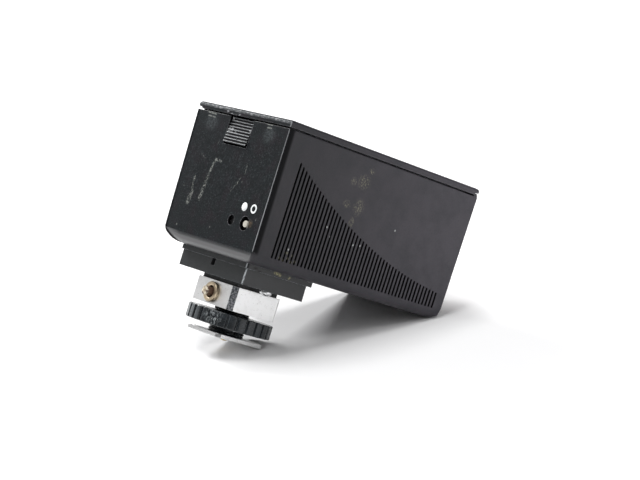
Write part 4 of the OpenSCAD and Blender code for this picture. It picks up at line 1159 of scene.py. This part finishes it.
def lid_shell():
    """Lid with rounded top edges, locating ribs, hinge knuckles and the catch's lugs."""
    rings = []

    def ring(z, inset):
        r = max(CORNER_R - inset * 0.35, 0.15)
        rings.append(rounded_rectangle(
            side_x(z) - inset, rear_y(z) + inset, front_y(z) - inset, r, z
        ))

    for k in range(4):
        a = radians(30 * k)
        ring(LID_LOW + LID_LOW_R * (1 - cos(a)), LID_LOW_R * (1 - sin(a)))
    for k in range(7):
        a = radians(15 * k)
        ring(CASE_TOP - LID_EDGE_R * (1 - sin(a)), LID_EDGE_R * (1 - cos(a)))
    item = loft("lid_shell", rings)
    combine(item, "DIFFERENCE", [
        hinge_rod("relief_middle", RELIEF_R, -KNUCKLE_IN, 2 * KNUCKLE_IN),
        hinge_rod("relief_right", RELIEF_R, KNUCKLE_OUT, OUTER_RELIEF_L),
        hinge_rod("relief_left", RELIEF_R, -KNUCKLE_OUT - OUTER_RELIEF_L, OUTER_RELIEF_L),
        rounded_box(
            "pry_notch", (-HALF_W - 1, REAR - 1, LID_LOW - 1), (-HALF_W + 2, REAR + 2, LID_LOW + 0.5), 0.15
        ),
    ])
    rib_low, rib_high = TUB_TOP - RIB_DROP, LID_LOW + 0.6
    side_in = HALF_W - WALL - 0.5
    rear_in = REAR + WALL + 0.5
    lug_in = CATCH_HALF + 0.35
    tongue_y = PIVOT_Y + 3.82
    joins = [
        hinge_rod("knuckle_right", KNUCKLE_R, KNUCKLE_IN, KNUCKLE_L),
        hinge_rod("knuckle_left", KNUCKLE_R, -KNUCKLE_OUT, KNUCKLE_L),
        rounded_box("tongue", (-3, tongue_y, PIVOT_Z - 6.7), (3, tongue_y + 1.3, rib_high), 0.2),
    ]
    for s in (-1, 1):
        bars = [
            ("side_rib", side_in, side_in - RIB_T, rear_in, FRONT - 4.5, rib_low),
            ("rear_rib", 10, side_in - 0.02, rear_in, rear_in + RIB_T, rib_low),
            ("lug", lug_in, lug_in + LUG_T, PIVOT_Y - LUG_HALF, PIVOT_Y + LUG_HALF, PIVOT_Z - LUG_HALF),
        ]
        for name, x_in, x_out, y_rear, y_front, z_low in bars:
            x0, x1 = sorted((s * x_in, s * x_out))
            joins.append(rounded_box(f"{name}_{s}", (x0, y_rear, z_low), (x1, y_front, rib_high), 0.2))
    combine(item, "UNION", joins)
    combine(item, "DIFFERENCE", [
        hinge_rod("hinge_bore", 0.5, -HALF_W, 2 * HALF_W),
        rod("catch_bore", 0.62, (-10, PIVOT_Y, PIVOT_Z), 20, "x"),
    ])
    return finish(item, "lid", "case_plastic", LID, "top_lid", sharp=48)


# ---- Lid catch ----

def ribbed_catch():
    """Ribbed thumb pad on a barbed leg that turns on the catch pin."""
    pitch = (CATCH_H - 0.6) / (RIBS - 1)
    steps = RIBS * 10
    face = []
    for i in range(steps + 1):
        z = lerp(-CATCH_H / 2, CATCH_H / 2, i / steps)
        phase = (z + CATCH_H / 2 - 0.3) / pitch
        crest = (0.5 + 0.5 * cos(2 * pi * phase)) ** 1.5
        face.append((RIB_H * (1 - crest), z))
    back = [(CATCH_T + RIB_H, CATCH_H / 2), (CATCH_T + RIB_H, -CATCH_H / 2)]
    turn = Matrix.Rotation(-CATCH_LEAN, 3, "X")
    middle = Vector((0, rear_y(CATCH_MID_Z), CATCH_MID_Z))
    rings = []
    for x in (-CATCH_HALF, -CATCH_HALF + 0.12, CATCH_HALF - 0.12, CATCH_HALF):
        pinch = 0.12 if abs(x) == CATCH_HALF else 0.0
        ring = []
        for y, z in face + back:
            y = min(y + pinch, CATCH_T + RIB_H)
            z = z * (1 - pinch / CATCH_H)
            ring.append(middle + turn @ Vector((x, y, z)))
        rings.append(ring)
    item = fix_normals(loft("ribbed_catch", rings))
    leg_y = PIVOT_Y - 0.5
    combine(item, "UNION", [
        rounded_box(
            "arm", (-CATCH_HALF + 0.05, rear_y(PIVOT_Z) + 1.6, PIVOT_Z - BARREL_R),
            (CATCH_HALF - 0.05, PIVOT_Y, PIVOT_Z + BARREL_R), 0.1
        ),
        rod("barrel", BARREL_R, (-CATCH_HALF + 0.02, PIVOT_Y, PIVOT_Z), 2 * CATCH_HALF - 0.04, "x"),
        rounded_box("leg", (-LEG_HALF, leg_y, BARB_LOW), (LEG_HALF, leg_y + 1, PIVOT_Z), 0.12),
        rounded_box(
            "barb", (-LEG_HALF + 0.01, leg_y - 1.2, BARB_LOW + 0.01),
            (LEG_HALF - 0.01, leg_y + 0.9, BARB_LOW + 1), 0.15
        ),
    ])
    combine(item, "DIFFERENCE", [rod("pin_bore", 0.65, (-10, PIVOT_Y, PIVOT_Z), 20, "x")])
    return finish(item, "catch", "case_plastic", CATCH, "lid_catch", sharp=55)


# ---- Locking ring and post ----

TEETH = 27
TOOTH_DEPTH = 0.7
RING_BORE_R = 6.15
# Half section of a finger groove: distance from its centre, and share of its depth
TOOTH_SECTION = [(0.0, 1.0), (0.17, 0.97), (0.26, 0.82), (0.46, 0.2), (0.56, 0.05), (0.72, 0.0), (1.2, -0.04)]


def toothed_ring():
    """Locking ring with finger grooves, rounded rims and a chamfered bore."""
    outer = (ring_high.x - ring_low.x) / 2
    low, high = ring_low.z, ring_high.z
    columns = []
    for i in range(TEETH):
        middle = 2 * pi * i / TEETH
        offsets = [(-away, share) for away, share in reversed(TOOTH_SECTION)] + TOOTH_SECTION[1:]
        columns += [(middle + away / outer, share) for away, share in offsets]
    rows = [
        # radius, height, share of the groove depth
        (RING_BORE_R + 0.3, low, 0.0), (9.5, low, 0.0), (outer - 1.4, low, 0.0), (outer - 0.35, low, 1.0),
        (outer - 0.1, low + 0.08, 1.0), (outer, low + 0.3, 1.0), (outer, (low + high) / 2, 1.0),
        (outer, high - 0.3, 1.0), (outer - 0.1, high - 0.08, 1.0), (outer - 0.35, high, 1.0),
        (outer - 1.4, high, 0.0), (9.5, high, 0.0), (RING_BORE_R + 0.3, high, 0.0),
        (RING_BORE_R, high - 0.3, 0.0), (RING_BORE_R, low + 0.3, 0.0),
    ]
    rings = []
    for radius, z, share in rows:
        reaches = [(radius - TOOTH_DEPTH * depth * share, a) for a, depth in columns]
        rings.append([(reach * cos(a), reach * sin(a), z) for reach, a in reaches])
    item = fix_normals(loft("toothed_ring", rings, closed=True))
    return finish(item, "ring", "ring_plastic", RING, "locking_ring", sharp=50)


THREAD_PITCH = 1.0
THREAD_DEPTH = 0.3
SPIGOT_R = 4.2
SPIGOT_H = 2.22
POST_BORE_R = 3.2


def threaded_post():
    """Post with a helical thread, a spigot and a through bore."""
    radius = (post_high.x - post_low.x) / 2
    low, shoulder, high = post_low.z, post_high.z - SPIGOT_H, post_high.z
    segments = 72
    rows = [(POST_BORE_R, low, 0), (radius - 0.5, low, 0), (radius - 0.3, low + 0.05, 0)]
    steps = 14 * round((shoulder - low) / THREAD_PITCH)
    for k in range(steps + 1):
        z = lerp(low + 0.3, shoulder - 0.1, k / steps)
        run_out = min(1.0, (z - low) / 0.8, (shoulder - z) / 0.5)
        rows.append((radius, z, run_out))
    rows += [
        (radius - 0.3, shoulder, 0), (SPIGOT_R, shoulder, 0), (SPIGOT_R, high - 0.2, 0),
        (SPIGOT_R - 0.2, high, 0), (POST_BORE_R, high, 0),
    ]
    rings = []
    for r, z, thread in rows:
        ring = []
        for i in range(segments):
            a = 2 * pi * i / segments
            phase = (z / THREAD_PITCH - i / segments) % 1.0
            cut = thread * THREAD_DEPTH * min(1.0, 2.4 * abs(phase - 0.5)) if thread else 0.0
            ring.append(((r - cut) * cos(a), (r - cut) * sin(a), z))
        rings.append(ring)
    item = fix_normals(loft("threaded_post", rings, closed=True))
    return finish(item, "case", "ring_plastic", RING, "foot_post", sharp=60)


# ---- Printed marks ----

def switch_mark(name, x, z, outer, inner):
    """Printed mark on the rear face: a disc, or a ring where inner is above 0."""
    thick = 0.03
    if inner:
        outline = [(inner, 0), (outer, 0), (outer - thick, -thick), (inner + thick, -thick)]
    else:
        outline = [(0.001, 0), (outer, 0), (outer - thick, -thick), (0.001, -thick)]
    rings = [circle((0, 0, 0), "y", radius, along, 64) for radius, along in outline]
    item = fix_normals(loft(name, rings, closed=True))
    lean = Matrix.Rotation(DRAFT, 4, "X")
    place = Matrix.Translation(Vector((x, rear_y(z), z)) * MM)
    item.data.transform(place @ lean)
    return finish(item, "case", "case_plastic", INK, sharp=60)


# ---- Springs ----

def living_spring(node, axis):
    """Steel copy of a CAD spring, standing in for the node it hides."""
    item = add_object(node + "_coils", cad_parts[node].data.copy())
    paint(item, STEEL)
    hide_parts(node)
    low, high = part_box(node)
    fixed_end, moving_end = high.copy(), high.copy()
    moving_end[axis] = low[axis]
    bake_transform(item)


# ---- Pieces that stand for CAD nodes ----

case_shell()
lid_shell()
ribbed_catch()
toothed_ring()
threaded_post()
switch_mark("on_mark", 14.5, 43.25, 1.42, 0.0)
switch_mark("off_mark", 19.45, 43.3, 1.52, 0.92)
living_spring("catch_spring", 1)
living_spring("contact_spring", 2)

# ---- CAD nodes that stay ----

# Material, and the nodes that take it with the width of their softened edges
NODE_FINISHES = [
    (STEEL, {
        "hinge_pin": 0.1, "catch_pin": 0.1, "tube_caps": 0.25, "board_screws": 0.12, "cell_springs": 0,
        "cell_plates": 0.08, "rear_board_screws": 0.12, "plate_screws": 0.12, "foot_screws": 0.12,
        "clamp_washer": 0.08,
    }),
    (SCREW, {"block_screws": 0.08}),
    (BLOCK_METAL, {"foot_block": 0.15}),
    (FOOT_METAL, {"foot_plate": 0.15}),
    (GOLD, {"contact_pin": 0.12, "spring_cap": 0.1}),
    (COLLAR, {"socket_pin": 0.15}),
    (CORE, {"socket_insulator": 0.2}),
    (REFLECTOR, {"reflector": 0.08}),
    (GLASS, {"flash_tube": 0.2}),
    (FILTER, {"infrared_window": 0.3}),
    (BOARD, {"main_board": 0.12, "rear_board": 0.12}),
    (DARK_PART, {"converter_transformer": 0.2, "power_transistor": 0.15, "power_switch": 0.15}),
    (BLUE_PART, {"main_capacitor": 0.6}),
    (COIL_PART, {"trigger_coil": 0.4}),
    (TAN_PART, {"resistors": 0.35}),
    (JACKET, {"cells": 0.5}),
    (WIRE, {"sync_wires": 0}),
    (INNER, {"battery_tray": 0.3, "test_switch": 0.2, "contact_bush": 0.1}),
    (MOUNT, {"mount_plate": 0.2, "mount_block": 0.22, "block_insulator": 0.15}),
]
for material, nodes in NODE_FINISHES:
    for node, bevel in nodes.items():
        dress(node, material, bevel)
dress("switch_knob", KNOB, 0.3, segments=4)
dress("test_button", BUTTON, 0.35, segments=4)
dress("socket_sleeve", COLLAR, 0.35, segments=4)

# ---- Floor, light and camera ----

# The object rests on the foot plate's front edge and on the case's front fillet
rest_y, rest_z = foot_high.y, foot_low.z
fillet_y = front_y(CASE_LOW + FRONT_FILLET) - FRONT_FILLET
fillet_z = CASE_LOW + FRONT_FILLET
away = hypot(fillet_y - rest_y, fillet_z - rest_z)
TILT = atan2(fillet_z - rest_z, fillet_y - rest_y) - asin(FRONT_FILLET / away)
FLOOR_AT = Vector((0, rest_y, rest_z)) * MM
FLOOR_REACH = 4000


def floor_finish():
    """White studio floor that is clear when seen from below."""
    g = Graph("studio_floor")
    tone = g.mix(g.noise(180, 2, 0.5), (0.86, 0.86, 0.865), (0.88, 0.88, 0.885))
    white = g.add("BsdfDiffuse", {"Color": tone}).outputs[0]
    clear = g.add("BsdfTransparent").outputs[0]
    back = g.add("NewGeometry").outputs["Backfacing"]
    both = g.add("MixShader", {0: back, 1: white, 2: clear})
    g.add("OutputMaterial", {0: both.outputs[0]})
    return g.material


def studio_floor():
    """Square floor that the object rests on."""
    corners = [(x * FLOOR_REACH, y * FLOOR_REACH, 0) for x, y in ((-1, -1), (1, -1), (1, 1), (-1, 1))]
    item = new_object("studio_floor", corners, [(0, 1, 2, 3)])
    item.matrix_world = Matrix.Translation(FLOOR_AT) @ Matrix.Rotation(TILT, 4, "X")
    item.data.materials.append(floor_finish())


def softbox(name, azimuth, elevation, distance, size, power):
    """Square area light aimed at the case, placed by angles about the floor's upright; metres and watts."""
    target = Vector((0, 24, 45)) * MM
    direction = toward(azimuth, elevation)
    lamp = bpy.data.lights.new(name, "AREA")
    lamp.energy = power
    lamp.size = size
    item = add_object(name, lamp)
    item.location = target + direction * distance
    item.rotation_mode = "QUATERNION"
    item.rotation_quaternion = (-direction).to_track_quat("-Z", "Y")


def toward(azimuth, elevation):
    """Direction given by angles about the floor's upright: 0 is behind the case and 90 to its right."""
    a, e = radians(azimuth), radians(elevation)
    level = Vector((sin(a) * cos(e), -cos(a) * cos(e), sin(e)))
    return Matrix.Rotation(TILT, 3, "X") @ level


def studio_world(dim, left_glow, right_glow, seen):
    """Dim surroundings with a pale glow low on the left and on the right; seen is what the camera sees."""
    world = bpy.data.worlds.new("studio")
    bpy.context.scene.world = world
    g = Graph("studio", world)

    def glow(azimuth, elevation, outer, inner, low, high):
        """Strength that rises from low to high between two angles from the middle of a glow."""
        nearness = g.vector("DOT_PRODUCT", g.point, tuple(toward(azimuth, elevation)))
        return g.ramp(nearness, cos(radians(outer)), cos(radians(inner)), low, high)

    level = g.math("ADD", glow(-60, 16, 44, 24, dim, left_glow), glow(112, 12, 50, 25, 0, right_glow))
    to_camera = g.add("LightPath").outputs["Is Camera Ray"]
    level = g.blend(to_camera, level, seen)
    g.add("OutputWorld", {0: g.add("Background", {"Strength": level}).outputs[0]})


def photo_camera():
    """Camera behind the case and to its right: place, heading, rise, roll and lens."""
    place = Vector((536.1, -419.4, 28.1)) * MM
    heading, rise, roll = (radians(d) for d in (50.20, 1.05, 17.12))
    level = Vector((-sin(heading), cos(heading), 0))
    forward = level * cos(rise) + Vector((0, 0, sin(rise)))
    level_right = forward.cross(Vector((0, 0, 1))).normalized()
    level_up = level_right.cross(forward)
    right = level_right * cos(roll) + level_up * sin(roll)
    up = right.cross(forward)
    camera = bpy.data.cameras.new("photo_camera")
    camera.lens = 114.87
    camera.sensor_width = 36
    camera.clip_start = 0.01
    camera.clip_end = 20
    item = add_object("photo_camera", camera)
    turn = Matrix((right, up, -forward)).transposed().to_4x4()
    item.matrix_world = Matrix.Translation(place) @ turn
    bpy.context.scene.camera = item


studio_floor()
studio_world(0.19, 0.84, 1.05, 0.965)
softbox("left_softbox", -91, 33.5, 3.0, 0.8, 90)
softbox("right_softbox", 90, 58, 3.0, 0.9, 15)
softbox("top_softbox", -10, 81, 3.0, 1.8, 78)
photo_camera()
bpy.context.scene.view_settings.view_transform = "Standard"
